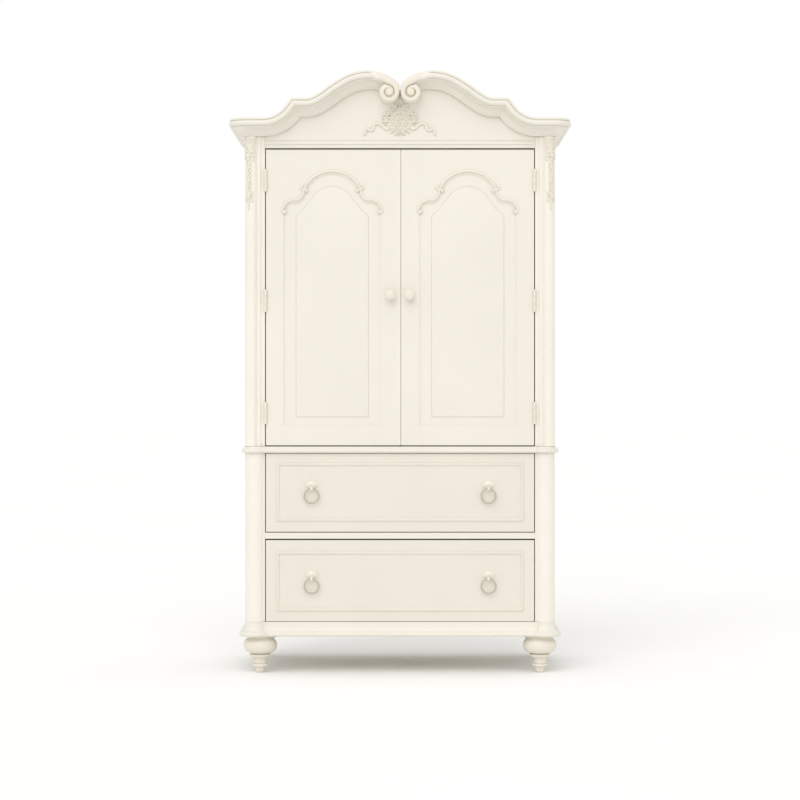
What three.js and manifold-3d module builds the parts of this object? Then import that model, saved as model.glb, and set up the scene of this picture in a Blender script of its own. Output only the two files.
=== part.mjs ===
// Armoire: two arched doors over two drawers, round corner posts, turned feet and a swan-neck
// cornice. Millimetres, +Z up, front towards -Y, origin on the floor under the centre of the box.
import * as THREE from "three";
import { mergeVertices } from "three/addons/utils/BufferGeometryUtils.js";
import Module from "manifold-3d";

const wasm = await Module();
wasm.setup();

// ---- Driving dimensions ----
const GAP = 0.3; // between pieces that touch
const DEPTH = 580; // nose of the cornice to the back
const BACK = DEPTH / 2;
const CORNICE_PROJECTION = 58; // nose of the cornice in front of the face plane
const FACE = -BACK + CORNICE_PROJECTION; // plane of the door and drawer faces
const BOARD = 20; // thickness of rails, drawer fronts and side panels

const POST_OUTER = 498.5; // outer face of the posts, from the centre
const POST_INNER = 434; // inner face of the posts, from the centre
const POST_PROUD = 13; // posts stand in front of the face plane
const POST_BACK = -190; // rear face of the posts
const LOWER_POST_RADIUS = 33;
const UPPER_POST_RADIUS = 22;
const SIDE_OUTER = 494.5;
const SIDE_INNER = SIDE_OUTER - BOARD;
const PANEL_BACK = BACK - 8; // front face of the back panel

const BASE_BOTTOM = 119.5;
const BASE_HEIGHT = 46.5;
const APRON_PROUD = 16; // nose of the base in front of the face plane, between the posts
const BASE_OVERHANG = 20;
const WAIST_BOTTOM = 709;
const WAIST_HEIGHT = 20.5;
const WAIST_OVERHANG = 13;
const DECK = [WAIST_BOTTOM - 0.5, WAIST_BOTTOM + WAIST_HEIGHT]; // board between drawers and cupboard
const DRAWER_RAIL = [433, 452.6]; // between the two drawers
const HEAD_BOTTOM = 1688.5; // rail over the doors
const HEAD_TOP = 1713;
const CORNICE_BOTTOM = 1726;
const CORNICE_HEIGHT = 55;
const CORNICE_OUTER = 550.5; // nose of the cornice's ends, from the centre

const FEET = { front: { x: 451.5, y: -195 }, back: { x: 465, y: 235 } };
const TOP_PANEL = [1700, 1718];
const BACK_PANEL_TOP = 1760;
const SHELF = { bottom: 1000, top: 1018, front: -150 };
const CLOTHES_ROD = { radius: 15, y: 45, z: 1640 };
const GUIDE_HALF_WIDTH = 22;

const DOOR = { bottom: 733, top: 1684, outer: 431, thickness: 22 };
const MEETING = { left: 1.7, right: 3.3 }; // edges of the doors where they meet, a little right of the centre
const PANEL_CENTRE = 218; // door panel, from the centre of the armoire
const PANEL_HALF_WIDTH = 158;
const PANEL_BOTTOM = 795;
const SHOULDER = 1484; // where the panel opening leaves its straight sides
const ARCH_CENTRE = 1514; // centre of the arch over each panel
const ARCH_RADIUS = 101;
const HINGE_AXIS = { x: 432, y: FACE - 5 };
const HINGE_HEIGHTS = [837, 1198, 1585];
const HINGE_LENGTH = 72;
const KNOB = { x: 30.5, z: 1216 };

const DRAWERS = {
  top: { low: 455, high: 707.4, frameLow: 488, frameHigh: 678, ring: 571, boxLow: 461, boxHigh: 655 },
  bottom: { low: 167.2, high: 428.5, frameLow: 199, frameHigh: 393, ring: 281.5, boxLow: 186, boxHigh: 380 },
};
const DRAWER_HALF_WIDTH = 431.5;
const DRAWER_FRAME_HALF_WIDTH = 398;
const DRAWER_BOX = { halfWidth: 424, back: 232, wall: 12, floor: 6 };
const PULL_X = 284;
const PLATE_WIDENING = 1.45; // backplates are this much wider than they are high
const RING = { radius: 23.2, wire: 2.75, y: FACE - 12 };

const PAINT = { color: "#f1ecdf", roughness: 0.42, metalness: 0 };
const SHADED_PAINT = { color: "#ebe5d6", roughness: 0.42, metalness: 0 };
const INSIDE_PAINT = { color: "#e9e2d2", roughness: 0.6, metalness: 0 };
const DRAWER_WOOD = { color: "#d8bd92", roughness: 0.6, metalness: 0 };
const PAINTED_METAL = { color: "#eae3d3", roughness: 0.35, metalness: 0.2 };

const armoire = new THREE.Group();

// ---- Geometry helpers ----
const point = (x, y) => new THREE.Vector2(x, y);
const radians = THREE.MathUtils.degToRad;

function place(name, geometry, look) {
  const mesh = new THREE.Mesh(geometry, new THREE.MeshStandardMaterial(look));
  mesh.name = name;
  armoire.add(mesh);
}

// A block between two values on each axis.
function block([x0, x1], [y0, y1], [z0, z1]) {
  const geometry = new THREE.BoxGeometry(x1 - x0, y1 - y0, z1 - z0);
  return geometry.translate((x0 + x1) / 2, (y0 + y1) / 2, (z0 + z1) / 2);
}

// A front-view outline of [x, z] points, as a board from yFront back to yBack.
function boardFromFront(outline, yFront, yBack) {
  const shape = new THREE.Shape(outline.map(([x, z]) => point(x, z)));
  const geometry = new THREE.ExtrudeGeometry(shape, { depth: yBack - yFront, bevelEnabled: false });
  return geometry.rotateX(Math.PI / 2).translate(0, yBack, 0);
}

// A plan outline of [x, y] points, as a board from z0 up to z1.
function boardFromAbove(outline, z0, z1) {
  const shape = new THREE.Shape(outline.map(([x, y]) => point(x, y)));
  return new THREE.ExtrudeGeometry(shape, { depth: z1 - z0, bevelEnabled: false }).translate(0, 0, z0);
}

// A turned piece: profile of [radius, height] points about a vertical axis.
function turned(profile, segments) {
  const points = profile.map(([radius, height]) => point(radius, height));
  return facingOut(new THREE.LatheGeometry(points, segments).rotateX(Math.PI / 2));
}

function solid(geometry) {
  const bare = geometry.index ? geometry.toNonIndexed() : geometry.clone();
  bare.deleteAttribute("normal");
  bare.deleteAttribute("uv");
  const merged = mergeVertices(bare, 1e-3);
  const triVerts = new Uint32Array(merged.index.array);
  const vertProperties = merged.attributes.position.array;
  return new wasm.Manifold(new wasm.Mesh({ numProp: 3, vertProperties, triVerts }));
}

function geometryOf(manifold) {
  const mesh = manifold.getMesh();
  const geometry = new THREE.BufferGeometry();
  geometry.setAttribute("position", new THREE.BufferAttribute(mesh.vertProperties, 3));
  geometry.setIndex(new THREE.BufferAttribute(mesh.triVerts, 1));
  return geometry;
}

function joined(...geometries) {
  return geometryOf(geometries.map(solid).reduce((sum, next) => sum.add(next)));
}

function cut(geometry, ...tools) {
  return geometryOf(tools.map(solid).reduce((rest, tool) => rest.subtract(tool), solid(geometry)));
}

// Turns the faces round if the closed surface encloses a negative volume.
function facingOut(geometry) {
  const flat = geometry.index ? geometry.toNonIndexed() : geometry;
  const position = flat.attributes.position;
  const [a, b, c] = [new THREE.Vector3(), new THREE.Vector3(), new THREE.Vector3()];
  let volume = 0;
  for (let i = 0; i < position.count; i += 3) {
    a.fromBufferAttribute(position, i);
    b.fromBufferAttribute(position, i + 1);
    c.fromBufferAttribute(position, i + 2);
    volume += a.dot(b.cross(c));
  }
  if (volume > 0) return flat;
  const turnedRound = position.array.slice();
  for (let i = 0; i < turnedRound.length; i += 9) {
    turnedRound.copyWithin(i + 3, i + 6, i + 9);
    turnedRound.set(position.array.subarray(i + 3, i + 6), i + 6);
  }
  return new THREE.BufferGeometry().setAttribute("position", new THREE.BufferAttribute(turnedRound, 3));
}

const mirrored = (geometry) => facingOut(geometry.clone().scale(-1, 1, 1));

// A closed skin over rings of equally many points. The ends are capped, or the last ring meets the first.
function loft(rings, { closed = false } = {}) {
  const corners = [];
  const size = rings[0].length;
  const spans = closed ? rings.length : rings.length - 1;
  for (let i = 0; i < spans; i++) {
    const ring = rings[i];
    const next = rings[(i + 1) % rings.length];
    for (let j = 0; j < size; j++) {
      const k = (j + 1) % size;
      corners.push(ring[j], ring[k], next[k], ring[j], next[k], next[j]);
    }
  }
  if (!closed) corners.push(...cap(rings[0], true), ...cap(rings[rings.length - 1], false));
  return facingOut(new THREE.BufferGeometry().setFromPoints(corners));
}

// Triangles over one flat ring.
function cap(ring, reversed) {
  const normal = new THREE.Vector3();
  const origin = ring[0];
  ring.forEach((corner, i) => {
    const next = ring[(i + 1) % ring.length];
    normal.add(corner.clone().sub(origin).cross(next.clone().sub(origin)));
  });
  const flatten = new THREE.Quaternion().setFromUnitVectors(normal.normalize(), new THREE.Vector3(0, 0, 1));
  const flat = ring.map((corner) => corner.clone().applyQuaternion(flatten));
  const faces = THREE.ShapeUtils.triangulateShape(flat.map(({ x, y }) => point(x, y)), []);
  return faces.flatMap(([a, b, c]) => (reversed ? [ring[a], ring[c], ring[b]] : [ring[a], ring[b], ring[c]]));
}

// Points of an arc, angles in degrees from +X.
function arc(centre, radius, from, to, steps) {
  const points = [];
  for (let i = 0; i <= steps; i++) {
    const angle = radians(from + ((to - from) * i) / steps);
    points.push([centre[0] + radius * Math.cos(angle), centre[1] + radius * Math.sin(angle)]);
  }
  return points;
}

const mirrorX = (outline) => outline.map(([x, y]) => [-x, y]).reverse();

// Unit vector to the left of the path at each of its points, lengthened at corners so that a
// moulding keeps its width round them.
function leftNormals(path, closed = false) {
  return path.map((here, i) => {
    const before = closed ? path[(i - 1 + path.length) % path.length] : path[Math.max(i - 1, 0)];
    const after = closed ? path[(i + 1) % path.length] : path[Math.min(i + 1, path.length - 1)];
    const arriving = point(here[0] - before[0], here[1] - before[1]).normalize();
    const leaving = point(after[0] - here[0], after[1] - here[1]).normalize();
    const along = arriving.clone().add(leaving).normalize();
    const known = leaving.length() > 0 ? leaving : arriving;
    return point(-along.y, along.x).divideScalar(along.dot(known));
  });
}

// A moulding run along a front-view path. Its profile is [across, proud] points: across to the
// left of the path, proud towards the front of plane y.
function frontMoulding(path, profile, y, closed = false) {
  const normals = leftNormals(path, closed);
  const rings = path.map(([x, z], i) =>
    profile.map(([across, proud]) => {
      const side = normals[i].clone().multiplyScalar(across);
      return new THREE.Vector3(x + side.x, y - proud, z + side.y);
    }),
  );
  return loft(rings, { closed });
}

// ---- Carcass ----
function addCase() {
  for (const [side, sign] of [["left", -1], ["right", 1]]) {
    const xs = [sign * SIDE_INNER, sign * SIDE_OUTER].sort((a, b) => a - b);
    place(
      `side_panel_${side}`,
      block(xs, [POST_BACK + GAP, BACK], [BASE_BOTTOM + 5, CORNICE_BOTTOM - GAP]),
      SHADED_PAINT,
    );
  }
  const inside = SIDE_INNER - GAP;
  const wide = [-inside, inside];
  const deep = [POST_BACK + GAP, PANEL_BACK - GAP];
  const bottomTop = BASE_BOTTOM + 25;
  place("back_panel", block(wide, [PANEL_BACK, BACK - 2], [BASE_BOTTOM + 5, BACK_PANEL_TOP]), INSIDE_PAINT);
  place("bottom_panel", block(wide, deep, [BASE_BOTTOM + GAP, bottomTop]), INSIDE_PAINT);
  place("top_panel", block(wide, deep, TOP_PANEL), INSIDE_PAINT);
  place("cupboard_shelf", block(wide, [SHELF.front, deep[1]], [SHELF.bottom, SHELF.top]), INSIDE_PAINT);

  const tongue = POST_INNER - GAP;
  const halfDeck = [
    [tongue, FACE + GAP],
    [tongue, POST_BACK + GAP],
    [inside, POST_BACK + GAP],
    [inside, deep[1]],
  ];
  place("cupboard_floor", boardFromAbove([...halfDeck, ...mirrorX(halfDeck)], ...DECK), INSIDE_PAINT);
  place("drawer_rail", block([-tongue, tongue], [FACE, POST_BACK], DRAWER_RAIL), SHADED_PAINT);

  const { radius, y, z } = CLOTHES_ROD;
  const rod = new THREE.CylinderGeometry(radius, radius, 2 * inside, 16).rotateZ(Math.PI / 2);
  place("clothes_rod", rod.translate(0, y, z), DRAWER_WOOD);

  for (const [drawer, floor] of [["top", DRAWER_RAIL[0] + 4], ["bottom", bottomTop + GAP]]) {
    const top = DRAWERS[drawer].boxLow - 1;
    const guide = block([-GUIDE_HALF_WIDTH, GUIDE_HALF_WIDTH], deep, [floor, top]);
    place(`${drawer}_drawer_guide`, guide, DRAWER_WOOD);
  }
}

// Plan outline of a lower post: one round face that dies into a narrow flat stile.
function lowerPostOutline() {
  const centre = [-POST_OUTER + LOWER_POST_RADIUS, FACE - POST_PROUD + LOWER_POST_RADIUS];
  const meets = Math.acos((LOWER_POST_RADIUS - POST_PROUD) / LOWER_POST_RADIUS);
  const lastAngle = 270 + THREE.MathUtils.radToDeg(meets);
  return [
    [-POST_OUTER, POST_BACK],
    ...arc(centre, LOWER_POST_RADIUS, 180, lastAngle, 8),
    [-POST_INNER, FACE],
    [-POST_INNER, POST_BACK],
  ];
}

// Plan outline of an upper post: a slimmer round, a bead beside it, and a flat stile.
function upperPostOutline() {
  const centre = [-POST_OUTER + UPPER_POST_RADIUS, FACE - POST_PROUD + UPPER_POST_RADIUS];
  return [
    [-POST_OUTER, POST_BACK],
    ...arc(centre, UPPER_POST_RADIUS, 180, 312, 7),
    [-460.5, FACE + 1],
    ...arc([-453.5, FACE - 2], 4.5, 170, 370, 6),
    [-447, FACE + 1],
    [-445, FACE],
    [-POST_INNER, FACE],
    [-POST_INNER, POST_BACK],
  ];
}

function addPosts() {
  const lower = [BASE_BOTTOM + BASE_HEIGHT + GAP, WAIST_BOTTOM - GAP];
  const upper = [WAIST_BOTTOM + WAIST_HEIGHT + GAP, CORNICE_BOTTOM - GAP];
  for (const [side, turn] of [["left", (outline) => outline], ["right", mirrorX]]) {
    place(`lower_post_${side}`, boardFromAbove(turn(lowerPostOutline()), ...lower), PAINT);
    place(`upper_post_${side}`, boardFromAbove(turn(upperPostOutline()), ...upper), PAINT);
  }
}

// Left half of the plan line that a moulding's nose follows: along the side, round the post,
// and by a small reverse curve into the straight run across the front.
function nosePath(overhang, runProud) {
  const reverse = 25;
  const centre = [-POST_OUTER + LOWER_POST_RADIUS, FACE - POST_PROUD + LOWER_POST_RADIUS];
  const radius = LOWER_POST_RADIUS + overhang;
  const run = FACE - runProud;
  const drop = centre[1] - (run - reverse);
  const shift = Math.sqrt((radius + reverse) ** 2 - drop ** 2);
  const meets = -THREE.MathUtils.radToDeg(Math.atan2(drop, shift));
  const side = centre[0] - radius;
  const bendX = centre[0] + shift;
  return [
    { at: [side, BACK], zone: "side" },
    { at: [side, POST_BACK], zone: "side" },
    { at: [side, POST_BACK - GAP], zone: "post" },
    ...arc(centre, radius, 180, 360 + meets, 6).map((at) => ({ at, zone: "post" })),
    ...arc([bendX, run - reverse], reverse, 179 + meets, 90, 3).map((at) => ({ at, zone: "front" })),
    { at: [bendX + 2, run], zone: "front" },
  ];
}

// A moulding round both sides and the front. profiles gives each zone its [inward, height] points,
// inward from the nose line.
function wrapMoulding(half, profiles, bottom) {
  const mirrored = half.map(({ at, zone }) => ({ at: [-at[0], at[1]], zone })).reverse();
  const stations = [...half, ...mirrored];
  const inwards = leftNormals(stations.map(({ at }) => at));
  const rings = stations.map(({ at, zone }, i) =>
    profiles[zone].map(([inward, height]) => {
      const step = inwards[i].clone().multiplyScalar(inward);
      return new THREE.Vector3(at[0] + step.x, at[1] + step.y, bottom + height);
    }),
  );
  return loft(rings);
}

function addWaist() {
  const nose = [[4, 0], [0, 4], [0, 9], [4, 13], [9, WAIST_HEIGHT]];
  const withBack = (back) => [[back, 0], ...nose, [back, WAIST_HEIGHT]];
  const profiles = {
    side: withBack(WAIST_OVERHANG + POST_OUTER - SIDE_OUTER - GAP),
    post: withBack(WAIST_OVERHANG + 25),
    front: withBack(WAIST_OVERHANG - GAP),
  };
  const half = nosePath(WAIST_OVERHANG, WAIST_OVERHANG);
  place("waist_moulding", wrapMoulding(half, profiles, WAIST_BOTTOM), PAINT);
}

function addBase() {
  const nose = [[4, 0], [0, 5], [0, 10], [4, 14], [7, 16]];
  const flare = [...nose, [13, 23], [17, 32], [19, 40], [BASE_OVERHANG, BASE_HEIGHT]];
  const apron = [...nose, [11, 21], [14, 29], [APRON_PROUD, 38], [APRON_PROUD, BASE_HEIGHT]];
  const withBack = (face, back) => [[back, 0], ...face, [back, BASE_HEIGHT]];
  const profiles = {
    side: withBack(flare, BASE_OVERHANG + POST_OUTER - SIDE_OUTER - GAP),
    post: withBack(flare, BASE_OVERHANG + 20),
    front: withBack(apron, APRON_PROUD + 36),
  };
  place("base_moulding", wrapMoulding(nosePath(BASE_OVERHANG, APRON_PROUD), profiles, BASE_BOTTOM), PAINT);
}

// A turned bun foot with a ring, a slim neck and a pad.
function footGeometry() {
  const top = BASE_BOTTOM - GAP;
  const profile = [
    [0, 0], [13, 0], [16, 14], [25, 24], [20, 40], [24, 50], [34, 56], [34, 63],
    [50, 76], [54, 88], [50, 100], [42, 110], [42, top], [0, top],
  ];
  return turned(profile, 14);
}

function addFeet() {
  for (const [row, { x, y }] of Object.entries(FEET)) {
    for (const [side, sign] of [["left", -1], ["right", 1]]) {
      place(`foot_${row}_${side}`, footGeometry().translate(sign * x, y, 0), PAINT);
    }
  }
}

// ---- Pediment ----
// The lower edge of the cornice in front view, from the corner to the scroll. The first stretch is
// level, then sweeps up to a mitre, and the swan neck runs on from there in one S.
const SWEEP = { start: -440, radius: 146, angle: 55.3 };
const SCROLL = { x: -34.5, z: 1862.5, radius: 32.3 };

function corniceSweep() {
  const centre = [SWEEP.start, CORNICE_BOTTOM + SWEEP.radius];
  return arc(centre, SWEEP.radius, 270, 270 + SWEEP.angle, 5);
}

function swanNeck() {
  const mitre = corniceSweep().pop();
  const knots = [
    mitre, [-284, 1790], [-254, 1800], [-225, 1817], [-192, 1841], [-155, 1864], [-127, 1874], [-97, 1877.5],
    [-74, 1877],
  ];
  const curve = new THREE.CatmullRomCurve3(knots.map(([x, z]) => new THREE.Vector3(x, z, 0)));
  return curve.getPoints(14).map(({ x, y }) => [x, y]);
}

// The cornice profile: a fillet, a cove and a rounded nose. [across, proud] points.
const CORNICE_PROFILE = [
  [0, GAP], [0, 14], [5, 17], [14, 27], [22, 38], [26, 48], [28, 54], [36, CORNICE_PROJECTION],
  [46, CORNICE_PROJECTION], [54, 53], [CORNICE_HEIGHT, 46], [CORNICE_HEIGHT, GAP],
];

function corniceGeometry() {
  const cornerX = -(CORNICE_OUTER - CORNICE_PROJECTION);
  const turn = 2; // radius of the cornice's back edge as it turns the corner
  const centre = [cornerX + turn, FACE + turn];
  const fromAbove = ([x, y], angle) =>
    CORNICE_PROFILE.map(([across, proud]) => {
      const reach = turn + proud;
      const out = [Math.cos(radians(angle)), Math.sin(radians(angle))];
      return new THREE.Vector3(x + reach * out[0], y + reach * out[1], CORNICE_BOTTOM + across);
    });
  const rings = [fromAbove([centre[0], BACK], 180)];
  for (let angle = 180; angle <= 270; angle += 22.5) rings.push(fromAbove(centre, angle));

  const path = [[centre[0] + 1, CORNICE_BOTTOM], ...corniceSweep(), ...swanNeck().slice(1)];
  const normals = leftNormals(path);
  // Past the last bend the moulding fans round into the scroll.
  const fan = [[[-69, 1871], 66], [[-64, 1868], 50], [[-57, 1864], 36], [[-54, 1861], 20], [[-53, 1858], 4]];
  for (const [at, angle] of fan) {
    path.push(at);
    normals.push(point(Math.cos(radians(angle)), Math.sin(radians(angle))));
  }
  path.forEach(([x, z], i) => {
    const ring = CORNICE_PROFILE.map(([across, proud]) => {
      const side = normals[i].clone().multiplyScalar(across);
      return new THREE.Vector3(Math.min(x + side.x, -1), FACE - proud, z + side.y);
    });
    rings.push(ring);
  });
  const scroll = new THREE.CylinderGeometry(SCROLL.radius, SCROLL.radius, CORNICE_PROJECTION - GAP, 20);
  scroll.translate(SCROLL.x, (FACE - GAP - BACK) / 2, SCROLL.z);
  return joined(loft(rings), scroll);
}

function addPediment() {
  const cornice = corniceGeometry();
  place("cornice_left", cornice, PAINT);
  place("cornice_right", mirrored(cornice), PAINT);

  // The board behind the cornice ends just under the cornice's top edge, and drops between the
  // posts to the head moulding.
  const boardEnd = -(CORNICE_OUTER - CORNICE_PROJECTION - 6);
  const betweenPosts = -(POST_INNER - GAP);
  const path = [[boardEnd, CORNICE_BOTTOM], ...corniceSweep(), ...swanNeck().slice(1)];
  const normals = leftNormals(path);
  const top = path.map(([x, z], i) => {
    const up = normals[i].clone().multiplyScalar(CORNICE_HEIGHT - 2);
    return [x + up.x, z + up.y];
  });
  const low = CORNICE_BOTTOM + GAP;
  const foot = [[betweenPosts, HEAD_TOP + GAP], [betweenPosts, low], [boardEnd, low]];
  const half = [...foot, ...top.slice(0, -1), [-40, 1914], [-18, 1896], [0, 1868]];
  const outline = [...half, ...mirrorX(half).slice(1)];
  place("pediment_board", boardFromFront(outline, FACE, FACE + BOARD), SHADED_PAINT);

  const head = [
    [0, 0], [-6, 0], [-6, 4], [-2, 6], [-2, 10], [-5, 12], [-5, 17], [-2, 19], [-2, HEAD_TOP - HEAD_BOTTOM],
    [BOARD, HEAD_TOP - HEAD_BOTTOM], [BOARD, 0],
  ];
  const reach = POST_INNER - GAP;
  const ends = [-reach, reach].map((x) =>
    head.map(([back, height]) => new THREE.Vector3(x, FACE + back, HEAD_BOTTOM + height)),
  );
  place("head_moulding", loft(ends), PAINT);
}

// ---- Carved appliques ----
function addAppliques() {
  const half = [
    [0, 1729], [14, 1733], [32, 1747], [52, 1762], [58, 1776], [50, 1792], [36, 1800], [26, 1818], [10, 1829],
  ];
  const bouquet = boardFromFront([...half, ...mirrorX(half).slice(0, -1)], FACE - 10, FACE - GAP);
  const ribbon = [
    [20, 1752], [45, 1750], [58, 1757], [71, 1762], [84, 1753], [92, 1743], [102, 1745], [114, 1729],
  ];
  const strip = [[-4, GAP], [-4, 6], [4, 6], [4, GAP]];
  const right = frontMoulding(ribbon, strip, FACE);
  place("bouquet_applique", joined(bouquet, right, mirrored(right)), PAINT);

  // Stations of the drop down each post: height, and half the angle that it covers.
  const stations = [
    [1486, 6], [1503, 22], [1530, 36], [1556, 26], [1582, 14], [1630, 20], [1655, 46], [1700, 58], [1722, 44],
  ];
  const centre = [-POST_OUTER + UPPER_POST_RADIUS, FACE - POST_PROUD + UPPER_POST_RADIUS];
  const facing = 246; // direction that the middle of the drop faces
  const rings = stations.map(([z, halfAngle]) => {
    const inner = arc(centre, UPPER_POST_RADIUS + 1, facing - halfAngle, facing + halfAngle, 5);
    const outer = arc(centre, UPPER_POST_RADIUS + 7, facing + halfAngle, facing - halfAngle, 5);
    return [...inner, ...outer].map(([x, y]) => new THREE.Vector3(x, y, z));
  });
  const drop = loft(rings);
  place("post_applique_left", drop, PAINT);
  place("post_applique_right", mirrored(drop), PAINT);
}

// ---- Doors ----
// Half of the arched top of the panel opening, from the right shoulder up to the crown, about the
// panel's own centre line.
function archedTop(inset) {
  const foot = ARCH_RADIUS - inset;
  const shoulder = SHOULDER - 0.4 * inset;
  return [
    [PANEL_HALF_WIDTH - inset, shoulder],
    [150 - inset, shoulder + 25],
    [132 - inset, shoulder + 37],
    [112 - inset, shoulder + 38],
    [98 - inset, shoulder + 50],
    ...arc([0, ARCH_CENTRE], foot, 34, 90, 5),
  ];
}

function archedOutline(inset, grow = 0) {
  const right = archedTop(inset).map(([x, z]) => [x + (x > 1 ? grow : 0), z + grow]);
  const low = PANEL_BOTTOM + inset - grow;
  const half = [[PANEL_HALF_WIDTH - inset + grow, low], ...right];
  return [...half, ...mirrorX(half).slice(1)];
}

const moved = (outline, dx) => outline.map(([x, z]) => [x + dx, z]);

// Every part of a door is made for the left one, and mirrored for the right one.
function doorFrame(meetingX) {
  const centre = -PANEL_CENTRE;
  const middle = FACE + 9;
  const slab = block([-DOOR.outer, meetingX], [FACE, FACE + DOOR.thickness], [DOOR.bottom, DOOR.top]);
  const opening = boardFromFront(moved(archedOutline(0), centre), FACE - 1, FACE + DOOR.thickness + 1);
  const rebate = boardFromFront(moved(archedOutline(0, 8), centre), middle, FACE + DOOR.thickness + 1);
  return cut(slab, opening, rebate);
}

// A half-round bead down the front of the left door, along its meeting edge.
function meetingBead() {
  const radius = 2.3;
  const x = MEETING.left - radius - 0.5;
  const round = [[-radius, -1], [-radius, 0.3], [-1.2, 1.2], [1.2, 1.2], [radius, 0.3], [radius, -1]];
  return frontMoulding([[x, DOOR.bottom + 1.5], [x, DOOR.top - 1.5]], round, FACE);
}

// The panel: a thin edge held in the rebate, a bevel, and a raised field in the middle.
function doorPanel() {
  const centre = -PANEL_CENTRE;
  const back = FACE + DOOR.thickness - 1;
  const edge = boardFromFront(moved(archedOutline(0, 8 - GAP), centre), FACE + 9 + GAP, back);
  const section = (outline, y) => moved(outline, centre).map(([x, z]) => new THREE.Vector3(x, y, z));
  const field = loft([
    section(archedOutline(2), back - 2),
    section(archedOutline(2), FACE + 4),
    section(archedOutline(42), FACE + 3),
    section(archedOutline(44), FACE + 2),
  ]);
  return joined(edge, field);
}

// The scrolled moulding over the panel: a round arch that stands on two S-shaped shoulders, with a
// small scroll at each end of each curve.
function archMoulding() {
  const centre = -PANEL_CENTRE;
  const bead = [[-5, GAP], [-3.5, 5], [3.5, 5], [5, GAP]];
  const crown = arc([0, ARCH_CENTRE], ARCH_RADIUS, 148, 32, 10);
  const shoulder = [
    [88, 1549], [93, 1537], [101, 1527], [113, 1522], [130, 1521], [146, 1513], [156, 1499], [157, 1487],
  ];
  const scrolls = [[84, 1560], [96, 1553], [154, 1483]];
  const pieces = [frontMoulding(moved(crown, centre), bead, FACE)];
  for (const sign of [-1, 1]) {
    const curve = shoulder.map(([x, z]) => [centre + sign * x, z]);
    pieces.push(frontMoulding(curve, bead, FACE));
    for (const [x, z] of scrolls) {
      const scroll = new THREE.CylinderGeometry(8, 8, 6, 10);
      pieces.push(scroll.translate(centre + sign * x, FACE - GAP - 3, z));
    }
  }
  return joined(...pieces);
}

// A round knob on a small backplate, its axis towards the front.
function knobGeometry() {
  const profile = [[0, 0], [11, 0], [10, 3], [6, 6], [6, 12], [13, 16], [17, 21], [15, 26], [8, 29], [0, 30]];
  const geometry = turned(profile, 16).rotateX(Math.PI / 2);
  return geometry.translate(-KNOB.x, FACE - GAP, KNOB.z);
}

// One butt hinge, left side. The frame leaf carries the pin and the outer knuckles, the door leaf
// the middle knuckle.
function hingeLeaves(height) {
  const { x, y } = HINGE_AXIS;
  const knuckle = 4.5;
  const pin = 2;
  const half = HINGE_LENGTH / 2;
  const third = HINGE_LENGTH / 6;
  const leafBack = FACE + 20;
  const tube = (low, high) => {
    const ring = [[pin + GAP, low], [knuckle, low], [knuckle, high], [pin + GAP, high], [pin + GAP, low]];
    return turned(ring, 10).translate(-x, y, height);
  };
  const plate = (x0, x1) => block([x0, x1], [FACE - 0.2, leafBack], [height - half, height + half]);
  const tongue = (x0, x1, low, high) => block([x0, x1], [y + pin + 1, FACE], [height + low, height + high]);
  const leaf = 1; // thickness of a leaf
  const frameX = [-POST_INNER + GAP, -POST_INNER + GAP + leaf];
  const doorX = [-DOOR.outer - GAP - leaf, -DOOR.outer - GAP];
  const shaft = turned([[0, -half], [pin, -half], [pin, half], [0, half]], 10).translate(-x, y, height);
  const ends = [[-half, -third - GAP], [third + GAP, half]];
  const frameLeaf = [plate(...frameX), shaft];
  for (const [low, high] of ends) {
    const outer = turned([[0, low], [knuckle, low], [knuckle, high], [0, high]], 10);
    frameLeaf.push(outer.translate(-x, y, height), tongue(...frameX, low, high));
  }
  const doorLeaf = [plate(...doorX), tube(-third, third), tongue(...doorX, -third, third)];
  return [joined(...frameLeaf), joined(...doorLeaf)];
}

function addDoors() {
  place("left_door_frame", joined(doorFrame(MEETING.left), meetingBead()), PAINT);
  place("right_door_frame", mirrored(doorFrame(-MEETING.right)), PAINT);
  const pieces = [
    ["panel", doorPanel(), PAINT],
    ["arch_moulding", archMoulding(), PAINT],
    ["knob", knobGeometry(), PAINTED_METAL],
  ];
  HINGE_HEIGHTS.forEach((height, i) => {
    const [frameLeaf, doorLeaf] = hingeLeaves(height);
    const position = ["lower", "middle", "upper"][i];
    pieces.push([`${position}_hinge_frame_leaf`, frameLeaf, PAINTED_METAL]);
    pieces.push([`${position}_hinge_door_leaf`, doorLeaf, PAINTED_METAL]);
  });
  for (const [name, geometry, look] of pieces) {
    place(`left_door_${name}`, geometry, look);
    place(`right_door_${name}`, mirrored(geometry), look);
  }
}

// ---- Drawers ----
function rectangle(halfWidth, low, high) {
  return [[-halfWidth, low], [halfWidth, low], [halfWidth, high], [-halfWidth, high]];
}

function drawerFront({ low, high, frameLow, frameHigh }) {
  const board = block([-DRAWER_HALF_WIDTH, DRAWER_HALF_WIDTH], [FACE, FACE + BOARD], [low, high]);
  const bead = [[0, -1], [0, 2], [3, 4], [8, 4], [11, 2], [11, -1]];
  const path = rectangle(DRAWER_FRAME_HALF_WIDTH, frameLow, frameHigh);
  return joined(board, frontMoulding(path, bead, FACE, true));
}

function drawerBox({ boxLow, boxHigh }) {
  const { halfWidth, back, wall, floor } = DRAWER_BOX;
  const front = FACE + BOARD + GAP;
  const outer = block([-halfWidth, halfWidth], [front, back], [boxLow, boxHigh]);
  const inner = halfWidth - wall;
  const hollow = block([-inner, inner], [front + wall, back - wall], [boxLow + floor, boxHigh + 1]);
  return cut(outer, hollow);
}

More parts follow.
